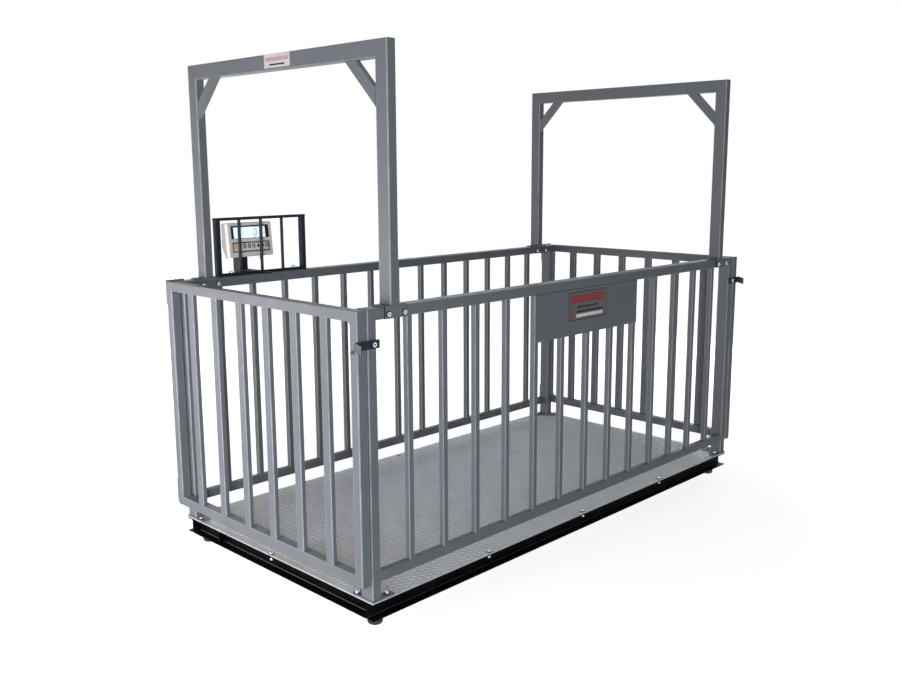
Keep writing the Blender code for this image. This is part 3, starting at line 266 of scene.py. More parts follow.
# Node helpers
def new_material(name):
    made = bpy.data.materials.new(name)
    made.use_nodes = True
    return made, made.node_tree, made.node_tree.nodes["Principled BSDF"]


def node(tree, kind, **settings):
    made = tree.nodes.new(kind)
    for key, value in settings.items():
        if key in made.inputs.keys():
            made.inputs[key].default_value = value
        else:
            setattr(made, key, value)
    return made


def coords(tree):
    return node(tree, "ShaderNodeTexCoord").outputs["Object"]


def axes(tree, where):
    """The X, Y and Z of a vector socket."""
    split = node(tree, "ShaderNodeSeparateXYZ")
    tree.links.new(where, split.inputs["Vector"])
    return split.outputs


def noise(tree, scale, detail=2.0, roughness=0.5):
    """Noise on object coordinates, at a scale in cycles per metre."""
    made = node(tree, "ShaderNodeTexNoise", Scale=scale, Detail=detail, Roughness=roughness)
    tree.links.new(coords(tree), made.inputs["Vector"])
    return made.outputs["Fac"]


def spread(tree, value, low, high, out_low=0.0, out_high=1.0):
    """Map a value from one range onto another, clamped."""
    made = node(tree, "ShaderNodeMapRange")
    made.inputs["From Min"].default_value = low
    made.inputs["From Max"].default_value = high
    made.inputs["To Min"].default_value = out_low
    made.inputs["To Max"].default_value = out_high
    tree.links.new(value, made.inputs["Value"])
    return made.outputs["Result"]


def blend_colour(tree, factor, first, second):
    """Mix two colours, either of which may be a socket."""
    made = node(tree, "ShaderNodeMix", data_type="RGBA")
    if isinstance(factor, float):
        made.inputs["Factor"].default_value = factor
    else:
        tree.links.new(factor, made.inputs["Factor"])
    for socket, value in ((made.inputs[6], first), (made.inputs[7], second)):
        if isinstance(value, tuple):
            socket.default_value = (*value, 1)
        else:
            tree.links.new(value, socket)
    return made.outputs[2]


def calculate(tree, operation, *values):
    made = node(tree, "ShaderNodeMath", operation=operation)
    for socket, value in zip(made.inputs, values):
        if isinstance(value, float):
            socket.default_value = value
        else:
            tree.links.new(value, socket)
    return made.outputs[0]


def multiply(tree, first, second):
    return calculate(tree, "MULTIPLY", first, second)


def bump(tree, shader, height, distance, strength=1.0):
    made = node(tree, "ShaderNodeBump", Strength=strength, Distance=distance)
    tree.links.new(height, made.inputs["Height"])
    tree.links.new(made.outputs["Normal"], shader.inputs["Normal"])


def mottle(tree, pattern, colour, darker, lighter, span=(0.3, 0.7)):
    """A colour that a pattern makes a little darker and a little lighter."""
    ends = [tuple(c * factor for c in colour) for factor in (darker, lighter)]
    return blend_colour(tree, spread(tree, pattern, *span), *ends)


def vary_roughness(tree, shader, pattern, low, high):
    tree.links.new(spread(tree, pattern, 0.3, 0.7, low, high), shader.inputs["Roughness"])


def height_above_floor(tree):
    return axes(tree, coords(tree))["Z"]


def corner_highlight_mask(tree):
    """Where a highlight is painted on corners: 1 on the rounded corners of upright tubes, less on those of
    level tubes, 0 on flat faces.
    """
    normal = node(tree, "ShaderNodeTexCoord").outputs["Normal"]
    x, y, z = (calculate(tree, "ABSOLUTE", socket) for socket in axes(tree, normal))
    level = multiply(tree, z, calculate(tree, "ADD", x, y))
    both = calculate(tree, "ADD", multiply(tree, x, y), multiply(tree, level, LEVEL_CORNER_HIGHLIGHT))
    return spread(tree, both, 0.08, 0.40)


# Finishes
def powder_coat(name, colour, roughness, gloss, dust=0.25, metallic=0.0, painted_highlight=None):
    """Sprayed and baked paint: orange peel, faint clouding, painted corner highlights, and dust towards the
    floor.
    """
    made, tree, shader = new_material(name)
    base = mottle(tree, noise(tree, 3.0, 4.0), colour, 0.94, 1.06)
    speck = mottle(tree, noise(tree, 900.0), colour, 0.90, 1.10, (0.35, 0.65))
    mixed = blend_colour(tree, 0.35, base, speck)
    low = spread(tree, height_above_floor(tree), *DUST_HEIGHTS)
    patches = spread(tree, noise(tree, 14.0, 6.0, 0.65), 0.42, 0.75)
    dusty = multiply(tree, multiply(tree, low, patches), dust)
    # A painted highlight on the rounded corners, in the given colour, patchy along them.
    if painted_highlight:
        patchy = spread(tree, noise(tree, 9.0, 5.0, 0.6), 0.30, 0.60, 0.35, 1.0)
        mixed = blend_colour(tree, multiply(tree, corner_highlight_mask(tree), patchy), mixed, painted_highlight)
    tree.links.new(blend_colour(tree, dusty, mixed, DUST), shader.inputs["Base Color"])
    vary_roughness(tree, shader, noise(tree, 22.0, 3.0), roughness - 0.05, roughness + 0.06)
    shader.inputs["Metallic"].default_value = metallic
    shader.inputs["Specular IOR Level"].default_value = gloss
    bump(tree, shader, noise(tree, 420.0, 2.0), ORANGE_PEEL, 0.6)
    return made


def walked_in_dust(made):
    """Brown dust that animals carry in, thickest inside the left gate."""
    tree = made.node_tree
    colour = tree.nodes["Principled BSDF"].inputs["Base Color"]
    clean = colour.links[0].from_socket
    near_gate = spread(tree, axes(tree, coords(tree))["X"], *WALKED_X, 0.0, WALKED_IN)
    patches = spread(tree, noise(tree, 4.5, 5.0, 0.6), 0.38, 0.62)
    tree.links.new(blend_colour(tree, multiply(tree, near_gate, patches), clean, WALKED_COLOUR), colour)
    return made


def tread_with_painted_highlight(name, ground, shoulder_highlight, roughness):
    """Deck paint on the lugs, with a highlight painted paler on their sloping shoulders, under walked-in
    dust.
    """
    made = powder_coat(name, ground, roughness, 0.20, metallic=0.30)
    tree = made.node_tree
    colour = tree.nodes["Principled BSDF"].inputs["Base Color"]
    painted = colour.links[0].from_socket
    height = height_above_floor(tree)
    crown = DECK_TOP + LUG_HEIGHT
    rising = spread(tree, height, DECK_TOP, DECK_TOP + LUG_SHOULDER)
    falling = spread(tree, height, crown - LUG_SHOULDER, crown, 1.0, 0.35)
    patches = spread(tree, noise(tree, 40.0, 3.0), 0.25, 0.6, 0.7, 1.0)
    # Painted highlight: paler paint on the lugs' sloping shoulders, patchy along them.
    painted_highlight = multiply(tree, multiply(tree, rising, falling), patches)
    tree.links.new(blend_colour(tree, painted_highlight, painted, shoulder_highlight), colour)
    return walked_in_dust(made)


def plated(name, colour, roughness):
    """Bright zinc or nickel plate with a faint grain."""
    made, tree, shader = new_material(name)
    shader.inputs["Metallic"].default_value = 1.0
    tint = mottle(tree, noise(tree, 160.0, 3.0), colour, 0.86, 1.05)
    tree.links.new(tint, shader.inputs["Base Color"])
    grain = noise(tree, 900.0, 2.0, 0.6)
    vary_roughness(tree, shader, grain, roughness - 0.06, roughness + 0.06)
    bump(tree, shader, grain, 0.00003, 0.4)
    return made


def moulded(name, colour, roughness, grain_scale=1400.0, depth=0.00004):
    """Moulded plastic or rubber with a fine spark-eroded texture."""
    made, tree, shader = new_material(name)
    tint = mottle(tree, noise(tree, 30.0, 3.0), colour, 0.95, 1.05)
    tree.links.new(tint, shader.inputs["Base Color"])
    grain = noise(tree, grain_scale)
    vary_roughness(tree, shader, grain, roughness - 0.04, roughness + 0.05)
    bump(tree, shader, grain, depth, 0.6)
    return made


def lcd_glow():
    """Pale back-lit display: even glow with a faint pixel grain."""
    made, tree, shader = new_material("lcd_glow")
    grain = noise(tree, 1800.0, 1.0)
    glow = blend_colour(tree, spread(tree, grain, 0.3, 0.7), (0.66, 0.76, 0.83), (0.73, 0.83, 0.89))
    tree.links.new(glow, shader.inputs["Base Color"])
    tree.links.new(glow, shader.inputs["Emission Color"])
    shader.inputs["Emission Strength"].default_value = 0.75
    shader.inputs["Roughness"].default_value = 0.25
    return made


def clear_pane():
    """Thin clear window: it only adds its own gloss."""
    made, tree, shader = new_material("clear_pane")
    vary_roughness(tree, shader, noise(tree, 60.0, 3.0), 0.03, 0.10)
    shader.inputs["Base Color"].default_value = (1, 1, 1, 1)
    shader.inputs["Alpha"].default_value = 0.06
    return made


def printed(name, colour, roughness):
    """Screen-printed film: almost flat, with a slight unevenness of the ink."""
    made, tree, shader = new_material(name)
    shader.inputs["Specular IOR Level"].default_value = FILM_GLOSS
    ink = noise(tree, 700.0, 3.0)
    tree.links.new(mottle(tree, ink, colour, 0.92, 1.06), shader.inputs["Base Color"])
    vary_roughness(tree, shader, ink, roughness - 0.04, roughness + 0.04)
    bump(tree, shader, ink, 0.00001, 0.5)
    return made


CAGE_COLOUR = (0.150, 0.164, 0.182)
# The cage, dark and lip paints carry a painted highlight on their rounded corners.
CAGE_PAINT = powder_coat("cage_powder_coat", CAGE_COLOUR, 0.42, 0.12, painted_highlight=(0.40, 0.42, 0.45))
WELD_PAINT = powder_coat("weld_powder_coat", CAGE_COLOUR, 0.38, 0.20)
DECK_PAINT = walked_in_dust(powder_coat("deck_paint_finish", (0.520, 0.535, 0.570), 0.50, 0.15, 0.35, 0.30))
# Both lug families are one paint: a lit copy for one family and a darker, shaded copy with a fainter
# shoulder highlight for the lugs turned the other way, as painted light.
LIT_TREAD_PAINT = tread_with_painted_highlight("lit_tread_paint_finish", (0.570, 0.585, 0.620), (0.700, 0.715, 0.750), 0.42)
SHADED_CROSS_TREAD_PAINT = tread_with_painted_highlight("shaded_cross_tread_finish", (0.500, 0.515, 0.550), (0.540, 0.555, 0.590), 0.48)
BASE_PAINT = powder_coat("base_black_paint", (0.002, 0.002, 0.003), 0.45, 0.02, 0.02)
DARK_PAINT = powder_coat(
    "dark_powder_coat", (0.021, 0.029, 0.041), 0.48, 0.07, 0.0, painted_highlight=(0.050, 0.062, 0.080)
)
# The lip is bent from its strap; its paint is a lighter, lit copy of the strap's dark paint, as painted
# light.
LIT_LIP_PAINT = powder_coat(
    "lit_lip_powder_coat", (0.084, 0.079, 0.083), 0.40, 0.15, 0.0, painted_highlight=(0.30, 0.30, 0.31)
)
ZINC = plated("bright_zinc", (0.78, 0.79, 0.82), 0.22)
# Dark steel for the pull rings, and for the washers, where its darkness also paints the shade round each
# bolt head.
DARK_STEEL_AND_SHADE = plated("dark_steel_and_washer_shade", (0.060, 0.070, 0.090), 0.45)
CELL_STEEL = plated("load_cell_nickel", (0.55, 0.55, 0.57), 0.30)
RUBBER = moulded("foot_rubber_finish", (0.010, 0.010, 0.011), 0.62, 500.0, 0.00010)
BOX_PLASTIC = moulded("box_plastic_finish", (0.060, 0.060, 0.066), 0.50)
HOUSING_PLASTIC = moulded("housing_plastic_finish", (0.345, 0.345, 0.345), 0.48)
BEZEL_PLASTIC = moulded("bezel_plastic_finish", (0.76, 0.755, 0.75), 0.44)
KEYPAD_FILM = printed("keypad_film_finish", (0.84, 0.79, 0.77), 0.36)
KEY_FILM = printed("key_film_finish", (0.88, 0.83, 0.81), 0.36)
KEY_ORANGE = printed("key_orange_finish", (0.95, 0.46, 0.20), 0.36)
INK = printed("dark_ink", (0.006, 0.008, 0.014), 0.30)
# Painted shade for the sockets of bolt heads.
SOCKET_SHADOW = printed("bolt_socket_painted_shade", (0.012, 0.013, 0.016), 0.55)
# Painted shadow for the gaps at the sign plate and at the saddles' edges.
GAP_SHADOW_PAINT = printed("painted_gap_shadow", (0.020, 0.023, 0.028), 0.60)
# Painted highlight for the bend between a channel's web and its lower flange.
BEND_HIGHLIGHT_PAINT = printed("channel_bend_highlight", (0.150, 0.128, 0.115), 0.60)
LABEL_WHITE = printed("label_white_film", (0.60, 0.575, 0.59), 0.35)
LABEL_GREY = printed("label_grey_film", (0.128, 0.132, 0.138), 0.38)
LABEL_RED = printed("label_red_ink", (0.27, 0.045, 0.055), 0.38)
LABEL_ROSE = printed("label_rose_ink", (0.50, 0.33, 0.36), 0.35)
LABEL_PINK = printed("label_pink_ink", (0.99, 0.74, 0.82), 0.38)
LABEL_BAR = printed("label_grey_ink", (0.012, 0.012, 0.014), 0.38)
POWER_INK = printed("power_mark_ink", (0.85, 0.52, 0.28), 0.30)
DIGIT_INK = printed("digit_ink", (0.055, 0.085, 0.110), 0.30)
LCD = lcd_glow()
PANE = clear_pane()


def paint(prefixes, finish):
    """Give every CAD node whose name starts with one of these the finish."""
    for name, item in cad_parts.items():
        if name.startswith(prefixes):
            item.data.materials.clear()
            item.data.materials.append(finish)


paint(("post_", "panel_", "sign_plate", "arch_", "gate_"), CAGE_PAINT)
paint(("deck_plate",), DECK_PAINT)
paint(("channel_", "cross_member_"), BASE_PAINT)
paint(("latch_left", "latch_right", "indicator_guard", "indicator_column"), DARK_PAINT)
paint(("hinge_pin_", "latch_bolt_"), ZINC)
paint(("load_cell_",), CELL_STEEL)
paint(("foot_",), RUBBER)
paint(("junction_box",), BOX_PLASTIC)
paint(("indicator_housing",), HOUSING_PLASTIC)
paint(("indicator_bezel",), BEZEL_PLASTIC)
paint(("display_module",), LCD)
paint(("keypad",), KEYPAD_FILM)
paint(("key_",), KEY_FILM)
paint(("key_1",), KEY_ORANGE)
paint(("display_window",), PANE)


# Places, meshes and pieces
def outer_x(name, sign):
    """The X of a node's left end (-1) or right end (1)."""
    low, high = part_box(name)
    return low.x if sign < 0 else high.x


def finish_piece(bm, name, finish, body="frame", smooth=35):
    """Close a bmesh into a piece that rides on a body."""
    bmesh.ops.remove_doubles(bm, verts=bm.verts, dist=1e-6)
    bmesh.ops.recalc_face_normals(bm, faces=bm.faces)
    for face in bm.faces:
        face.smooth = True
    mesh = bpy.data.meshes.new(name)
    bm.to_mesh(mesh)
    bm.free()
    mesh.set_sharp_from_angle(angle=math.radians(smooth))
    mesh.materials.append(finish)
    made = bpy.data.objects.new(name, mesh)
    bpy.context.scene.collection.objects.link(made)
    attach(made, body)
    return made


def add_to(bm, part):
    """Add one bmesh to another and free it."""
    mesh = bpy.data.meshes.new("step")
    part.to_mesh(mesh)
    part.free()
    bm.from_mesh(mesh)
    bpy.data.meshes.remove(mesh)


def placed(bm, build, spot, up=(0, 0, 1)):
    """Build a shape about the origin in its own bmesh and add it, turned and moved, to another."""
    part = bmesh.new()
    build(part)
    turn = Vector((0, 0, 1)).rotation_difference(Vector(up)).to_matrix().to_4x4()
    bmesh.ops.transform(part, matrix=Matrix.Translation(spot) @ turn, verts=part.verts)
    add_to(bm, part)


def extruded(bm, faces):
    """Extrude some faces together: the new vertices and the new faces."""
    grown = bmesh.ops.extrude_face_region(bm, geom=faces)["geom"]
    verts = [g for g in grown if isinstance(g, bmesh.types.BMVert)]
    return verts, [g for g in grown if isinstance(g, bmesh.types.BMFace)]


def edges_among(bm, verts, above=-math.inf):
    """The edges between some of these vertices that lie above a height."""
    chosen = set(verts)
    return [e for e in bm.edges if chosen.issuperset(e.verts) and all(v.co.z > above for v in e.verts)]


def round_edges(bm, edges, radius, segments=2):
    bmesh.ops.bevel(
        bm, geom=edges, offset=radius, offset_type="OFFSET", segments=segments, profile=0.5,
        affect="EDGES", material=-1,
    )


def disc(bm, sides, radius, start, end, turn=0.0, top=None):
    """A short upright cylinder between two heights, optionally narrower at its top."""
    return bmesh.ops.create_cone(
        bm,
        cap_ends=True,
        segments=sides,
        radius1=radius,
        radius2=radius if top is None else top,
        depth=end - start,
        matrix=Matrix.Translation((0, 0, (start + end) / 2)) @ Matrix.Rotation(turn, 4, "Z"),
    )["verts"]


def slab(bm, low, high, radius=0.0):
    """A block between two corners, with rounded edges if it has a radius."""
    verts = bmesh.ops.create_cube(bm, size=1.0)["verts"]
    bmesh.ops.scale(bm, verts=verts, vec=[b - a for a, b in zip(low, high)])
    bmesh.ops.translate(bm, verts=verts, vec=[(a + b) / 2 for a, b in zip(low, high)])
    if radius:
        round_edges(bm, edges_among(bm, verts), radius)
    return verts


def washer(bm, radius):
    """A flat washer with a broken edge, on the plane z = 0."""
    ring = disc(bm, 24, radius, 0, WASHER_THICK)
    round_edges(bm, edges_among(bm, ring, WASHER_THICK / 2), WASHER_EDGE, 1)


def hex_bolt(bm, head, stem=0.0):
    """A hex head over the plane z = 0 and its washer; its stem ends in a nut if it has one."""
    radius, height, _ = head
    cap = disc(bm, 6, radius, WASHER_THICK, WASHER_THICK + height, HEAD_TURN)
    round_edges(bm, edges_among(bm, cap, WASHER_THICK + height / 2), HEAD_EDGE)
    if stem:
        disc(bm, 12, radius * STEM_SIZE, -stem, 0)
        disc(bm, 6, radius, -stem, -stem + height, NUT_TURN)
        disc(bm, 12, radius * STEM_SIZE, -stem - STEM_PAST_NUT, -stem)


# Tread of the deck
def tread_lug(bm, spot, angle):
    """One raised lug: a lens with sloping sides and a flat crown."""
    ring = bmesh.ops.create_circle(bm, cap_ends=True, segments=LUG_SIDES, radius=0.5)["verts"]
    crown, _ = extruded(bm, ring[0].link_faces[:])
    bmesh.ops.scale(bm, verts=ring + crown, vec=(LUG_LENGTH, LUG_WIDTH, 1))
    bmesh.ops.scale(bm, verts=crown, vec=(*LUG_CROWN, 1))
    bmesh.ops.translate(bm, verts=crown, vec=(0, 0, LUG_HEIGHT + LUG_SINK))
    where = Matrix.Translation((spot[0], spot[1], DECK_TOP - LUG_SINK)) @ Matrix.Rotation(angle, 4, "Z")
    bmesh.ops.transform(bm, matrix=where, verts=ring + crown)


def bolt_places():
    """Deck bolts: three along each long edge and one in the middle of each end."""
    inset_x, inset_y = DECK_BOLT_INSET
    places = []
    for side in (-1, 1):
        for x in (-DECK_BOLT_X, 0, DECK_BOLT_X):
            places.append((x, MIDDLE_Y + side * (HALF_WIDTH - inset_y)))
        places.append((side * (HALF_LENGTH - inset_x), MIDDLE_Y))
    return places


def lug_is_covered(x, y):
    """True past the sheet's edges and under a foot plate or a deck bolt."""
    from_end = HALF_LENGTH - abs(x)
    from_side = HALF_WIDTH - abs(y - MIDDLE_Y)
    if from_end < LUG_FROM_EDGE[0] or from_side < LUG_FROM_EDGE[1]:
        return True
    reach_x, reach_y = FOOT_PLATE_REACH
    wide, narrow = FOOT_PLATE_LEG
    margin = LUG_LENGTH / 2
    near_side = from_end < reach_x + margin and from_side < narrow + LUG_WIDTH
    near_end = from_end < wide + margin and from_side < reach_y + LUG_WIDTH
    near_bolt = any(math.dist((x, y), spot) < margin + DECK_BOLT[2] for spot in bolt_places())
    return near_side or near_end or near_bolt


def tread(name, side, family, finish):
    """One family of lugs on one half of the deck, built from a block of two lugs."""
    step_x, step_y = LUG_STEP
    rows = int(HALF_WIDTH / step_y / 2 + 1)
    columns = int(HALF_LENGTH / step_x / 2 + 1)
    first = 0 if side < 0 else 1
    cell = bmesh.new()
    for i in range(2):
        for j in range(2):
            spot = (
                LUG_ORIGIN[0] + (first + side * i) * step_x,
                MIDDLE_Y + LUG_ORIGIN[1] + (j - 2 * rows) * step_y,
            )
            if (first + i + j) % 2 == family:
                tread_lug(cell, spot, LUG_TURN if family else -LUG_TURN)
    mesh = bpy.data.meshes.new(name)
    cell.to_mesh(mesh)
    cell.free()
    block = bpy.data.objects.new(name, mesh)
    bpy.context.scene.collection.objects.link(block)
    for axis, count, step in ((0, columns, side * 2 * step_x), (1, 2 * rows, 2 * step_y)):
        array = block.modifiers.new("repeat", "ARRAY")
        array.count = count
        array.use_relative_offset = False
        array.use_constant_offset = True
        array.constant_offset_displace = [step if n == axis else 0 for n in range(3)]
    ready = bpy.data.meshes.new_from_object(block.evaluated_get(bpy.context.evaluated_depsgraph_get()))
    bpy.data.objects.remove(block)
    bpy.data.meshes.remove(mesh)
    bm = bmesh.new()
    bm.from_mesh(ready)
    bpy.data.meshes.remove(ready)
    unwanted = []
    for v in bm.verts:
        x = LUG_ORIGIN[0] + step_x * round((v.co.x - LUG_ORIGIN[0]) / step_x)
        y = MIDDLE_Y + LUG_ORIGIN[1] + step_y * round((v.co.y - MIDDLE_Y - LUG_ORIGIN[1]) / step_y)
        if lug_is_covered(x, y):
            unwanted.append(v)
    bmesh.ops.delete(bm, geom=unwanted, context="VERTS")
    finish_piece(bm, name, finish, smooth=25)


# Bolts
def bolt_set(name, head, spots, stem=0.0):
    """Bright bolts with dark sockets and dark washers, at a list of (place, outward direction); the socket
    discs are painted shade, and the washers' darkness is partly painted shade round each head.
    """
    radius, height, washer_radius = head
    top = WASHER_THICK + height

    def socket(part):
        disc(part, 12, radius * SOCKET_SIZE, top - SOCKET_SINK, top + SOCKET_SHOWS)

    heads = bmesh.new()
    washers = bmesh.new()
    socket_shades = bmesh.new()
    for spot, out in spots:
        placed(heads, lambda part: hex_bolt(part, head, stem), spot, out)
        placed(washers, lambda part: washer(part, washer_radius), spot, out)
        placed(socket_shades, socket, spot, out)
    finish_piece(heads, name, ZINC)
    finish_piece(washers, f"{name}_washers", DARK_STEEL_AND_SHADE)
    finish_piece(socket_shades, f"{name}_sockets", SOCKET_SHADOW)


def bolts():
    """Every bolt of the deck, of the posts' foot plates and of the arches' saddles."""
    spots = [((x, y, DECK_TOP), (0, 0, 1)) for x, y in bolt_places()]
    bolt_set("deck_bolts", DECK_BOLT, spots, DECK_BOLT_STEM)
    spots = []
    for side_x in (-1, 1):
        for side_y in (-1, 1):
            for x, y in PLATE_BOLTS:
                spots.append(((side_x * x, MIDDLE_Y + side_y * y, DECK_TOP + PLATE_TOP), (0, 0, 1)))
    bolt_set("foot_plate_bolts", PLATE_BOLT, spots)
    spots = []
    for side in END_SIGN:
        for across, out in (("near", -1), ("far", 1)):
            low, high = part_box(f"arch_{side}_leg_{across}")
            x = (low.x + high.x) / 2
            outer, inner = (low.y, high.y) if out < 0 else (high.y, low.y)
            for step in (-SADDLE_BOLT_X, SADDLE_BOLT_X):
                z = CAGE_TOP - SADDLE_BOLT_BELOW
                spots.append(((x + step, outer, z), (0, out, 0)))
                spots.append(((x + step, inner, z), (0, -out, 0)))
    bolt_set("saddle_bolts", SADDLE_BOLT, spots)


# Welds
def weld_bead(bm, start, end, radius=BEAD_RADIUS):
    """A short bead along an inside corner, with a ripple and rounded ends."""
    along = Vector(end) - Vector(start)
    ring = bmesh.ops.create_circle(bm, cap_ends=True, segments=6, radius=radius * BEAD_START)["verts"]
    every = list(ring)
    front = ring[0].link_faces[:]
    for size in BEAD_SIZES:
        moved, front = extruded(bm, front)
        bmesh.ops.translate(bm, verts=moved, vec=(0, 0, along.length / len(BEAD_SIZES)))
        middle = Vector((0, 0, moved[0].co.z))
        bmesh.ops.scale(bm, verts=moved, vec=(size, size, 1), space=Matrix.Translation(-middle))
        every += moved
    turn = Vector((0, 0, 1)).rotation_difference(along).to_matrix().to_4x4()
    bmesh.ops.transform(bm, matrix=Matrix.Translation(start) @ turn, verts=every)


def panel_welds():
    """Beads on both sides of every upright bar, where it meets the two rails of its side panel."""
    plate_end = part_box("sign_plate")[1].x
    bm = bmesh.new()
    for side, name in ((-1, "panel_near"), (1, "panel_far")):
        low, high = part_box(name)
        face = low.y if side < 0 else high.y
        outer, inner = (face - side * inset for inset in PANEL_BEAD)
        rail_top, rail_under = low.z + FRAME_TUBE, high.z - FRAME_TUBE
        for n in range(PANEL_BARS):
            middle = (n - (PANEL_BARS - 1) / 2) * BAR_PITCH
            for x in (middle - PANEL_BAR / 2, middle + PANEL_BAR / 2):
                for z in (rail_top, rail_under):
                    hidden = side < 0 and z == rail_under and abs(x) < plate_end
                    weld_bead(bm, (x, inner, z), (x, outer + (BEHIND_PLATE if hidden else 0), z))
    finish_piece(bm, "panel_welds", WELD_PAINT)


def gate_welds(side):
    """Beads at the gate's bars and a filled corner inside each corner of its frame."""
    sign = END_SIGN[side]
    face = outer_x(f"gate_{side}", sign)
    back = face - sign * FRAME_TUBE
    bottom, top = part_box(f"gate_{side}")[0].z + FRAME_TUBE, CAGE_TOP - FRAME_TUBE
    near, far = RAIL_LOW.y + FRAME_TUBE, 2 * MIDDLE_Y - RAIL_LOW.y - FRAME_TUBE
    start, end = back + sign * GATE_BEAD_INSET, face - sign * GATE_BEAD_INSET
    bm = bmesh.new()
    for n in range(GATE_BARS):
        middle = MIDDLE_Y + (n - (GATE_BARS - 1) / 2) * BAR_PITCH
        for y in (middle - GATE_BAR / 2, middle + GATE_BAR / 2):
            for z in (bottom, top):
                weld_bead(bm, (start, y, z), (end, y, z))
    ends = back + sign * FILLET_INSET[0], face - sign * FILLET_INSET[1]
    for y, out_y in ((near, 1), (far, -1)):
        for z, out_z in ((bottom, 1), (top, -1)):
            corner_fillet(bm, ends, y, z, out_y, out_z)
    finish_piece(bm, f"gate_{side}_welds", WELD_PAINT, f"gate_{side}")


def corner_fillet(bm, ends, y, z, out_y, out_z):
    """A small hollowed fillet that runs along X in an inside corner."""
    left, right = sorted(ends)
    verts = slab(bm, (left, 0, 0), (right, CORNER_FILLET, CORNER_FILLET))
    far_edge = [v for v in verts if v.co.y > CORNER_FILLET / 2 and v.co.z > CORNER_FILLET / 2]
    hollow = -CORNER_FILLET * FILLET_HOLLOW
    bmesh.ops.translate(bm, verts=far_edge, vec=(0, hollow, hollow))
    bmesh.ops.scale(bm, verts=verts, vec=(1, out_y, out_z))
    bmesh.ops.translate(bm, verts=verts, vec=(0, y, z))


def arch_welds():
    """Beads round the foot of each arch leg and at both ends of each knee brace."""
    bm = bmesh.new()
    for side in END_SIGN:
        beam_low, beam_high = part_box(f"arch_{side}_beam")
        left, right = beam_low.x, beam_high.x
        under = beam_low.z
        start, end = (left + inset for inset in BRACE_BEAD)
        for across, out in (("near", -1), ("far", 1)):
            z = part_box(f"arch_{side}_leg_{across}")[0].z + SADDLE_TOP
            inner, outer = (MIDDLE_Y + out * y for y in LEG_Y)
            for x in (left, right):
                weld_bead(bm, (x, inner + out * LEG_BEAD_INSET, z), (x, outer - out * LEG_BEAD_INSET, z))
            for y in (outer, inner):
                weld_bead(bm, (left + LEG_BEAD_INSET, y, z), (right - LEG_BEAD_INSET, y, z))
            for reach in BRACE_REACH:
                y = inner - out * reach
                weld_bead(bm, (start, y, under), (end, y, under))
                weld_bead(bm, (start, inner, under - reach), (end, inner, under - reach))
    finish_piece(bm, "arch_welds", WELD_PAINT)


def post_welds():
    """Beads round the foot of each corner post, on its foot plate."""
    bm = bmesh.new()
    z = DECK_TOP + PLATE_TOP
    for side_x in (-1, 1):
        for side_y in (-1, 1):
            inner_x, outer_x = (side_x * x for x in POST_X)
            inner_y, outer_y = (MIDDLE_Y + side_y * y for y in POST_Y)
            weld_bead(bm, (inner_x, inner_y, z), (inner_x, outer_y, z))
            weld_bead(bm, (inner_x, inner_y, z), (outer_x, inner_y, z))
            weld_bead(bm, (outer_x, inner_y, z), (outer_x, outer_y, z), FINE_BEAD)
            weld_bead(bm, (inner_x, outer_y, z), (outer_x, outer_y, z), FINE_BEAD)
    finish_piece(bm, "post_welds", WELD_PAINT)


# Latches and the gates' pegs
def latch_strap(side):
    """The latch's flat strap, and the finger lip that is bent outward past the gate."""
    sign = END_SIGN[side]
    tail = outer_x(f"latch_{side}", -sign)
    end = outer_x(f"latch_{side}", sign) + sign * LIP_REACH
    _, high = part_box(f"latch_{side}")
    back, top = high.y, high.z
    bm = bmesh.new()
    left, right = sorted((tail, end))
    slab(bm, (left, back - STRAP_THICK, top - STRAP_HEIGHT), (right, back, top), STRAP_EDGE)
    skin = finish_piece(bm, f"latch_{side}_strap", DARK_PAINT, f"latch_{side}")
    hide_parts(f"latch_{side}")
    bm = bmesh.new()
    left, right = sorted((end, end - sign * STRAP_THICK))
    slab(bm, (left, -LIP_WIDTH, -STRAP_HEIGHT), (right, 0, LIP_TOP), LIP_EDGE)
    droop = Matrix.Shear("XZ", 3, (0.0, math.tan(LIP_DROOP))).to_4x4()
    where = Matrix.Translation((0, back - LIP_BACK, top - LIP_TOP))
    bmesh.ops.transform(bm, matrix=where @ droop, verts=bm.verts)
    # The lip wears a lighter, lit copy of the strap's paint: painted light.
    finish_piece(bm, f"latch_{side}_lip", LIT_LIP_PAINT, f"latch_{side}")


def latch_bolt_socket_shade(side):
    """A dark disc in the latch's pivot bolt: painted shade for its socket."""
    low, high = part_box(f"latch_bolt_{side}")
    spot = ((low.x + high.x) / 2, low.y, (low.z + high.z) / 2)

    def socket(part):
        disc(part, 12, LATCH_SOCKET, -SOCKET_SINK, LATCH_SOCKET_SHOWS)

    bm = bmesh.new()
    placed(bm, socket, spot, (0, -1, 0))
    finish_piece(bm, f"latch_{side}_socket", SOCKET_SHADOW)


def peg(bm):
    """A round-nosed peg and its collar, on the plane z = 0."""
    pin = disc(bm, 16, PEG_RADIUS, -PEG_SINK, PEG_LENGTH)
    round_edges(bm, edges_among(bm, pin, PEG_LENGTH / 2), PEG_RADIUS * PEG_NOSE, 3)
    base, top = (PEG_RADIUS * size for size in PEG_COLLAR)
    disc(bm, 16, base, -PEG_SINK, PEG_COLLAR_TALL, top=top)


def gate_peg(side):
    """The peg on the gate's stile beside the latch."""
    sign = END_SIGN[side]
    spot = (outer_x(f"gate_{side}", sign), MIDDLE_Y + PEG_Y, DECK_TOP + PEG_Z)
    bm = bmesh.new()
    placed(bm, peg, spot, (sign, 0, 0))
    finish_piece(bm, f"gate_{side}_peg", WELD_PAINT, f"gate_{side}")


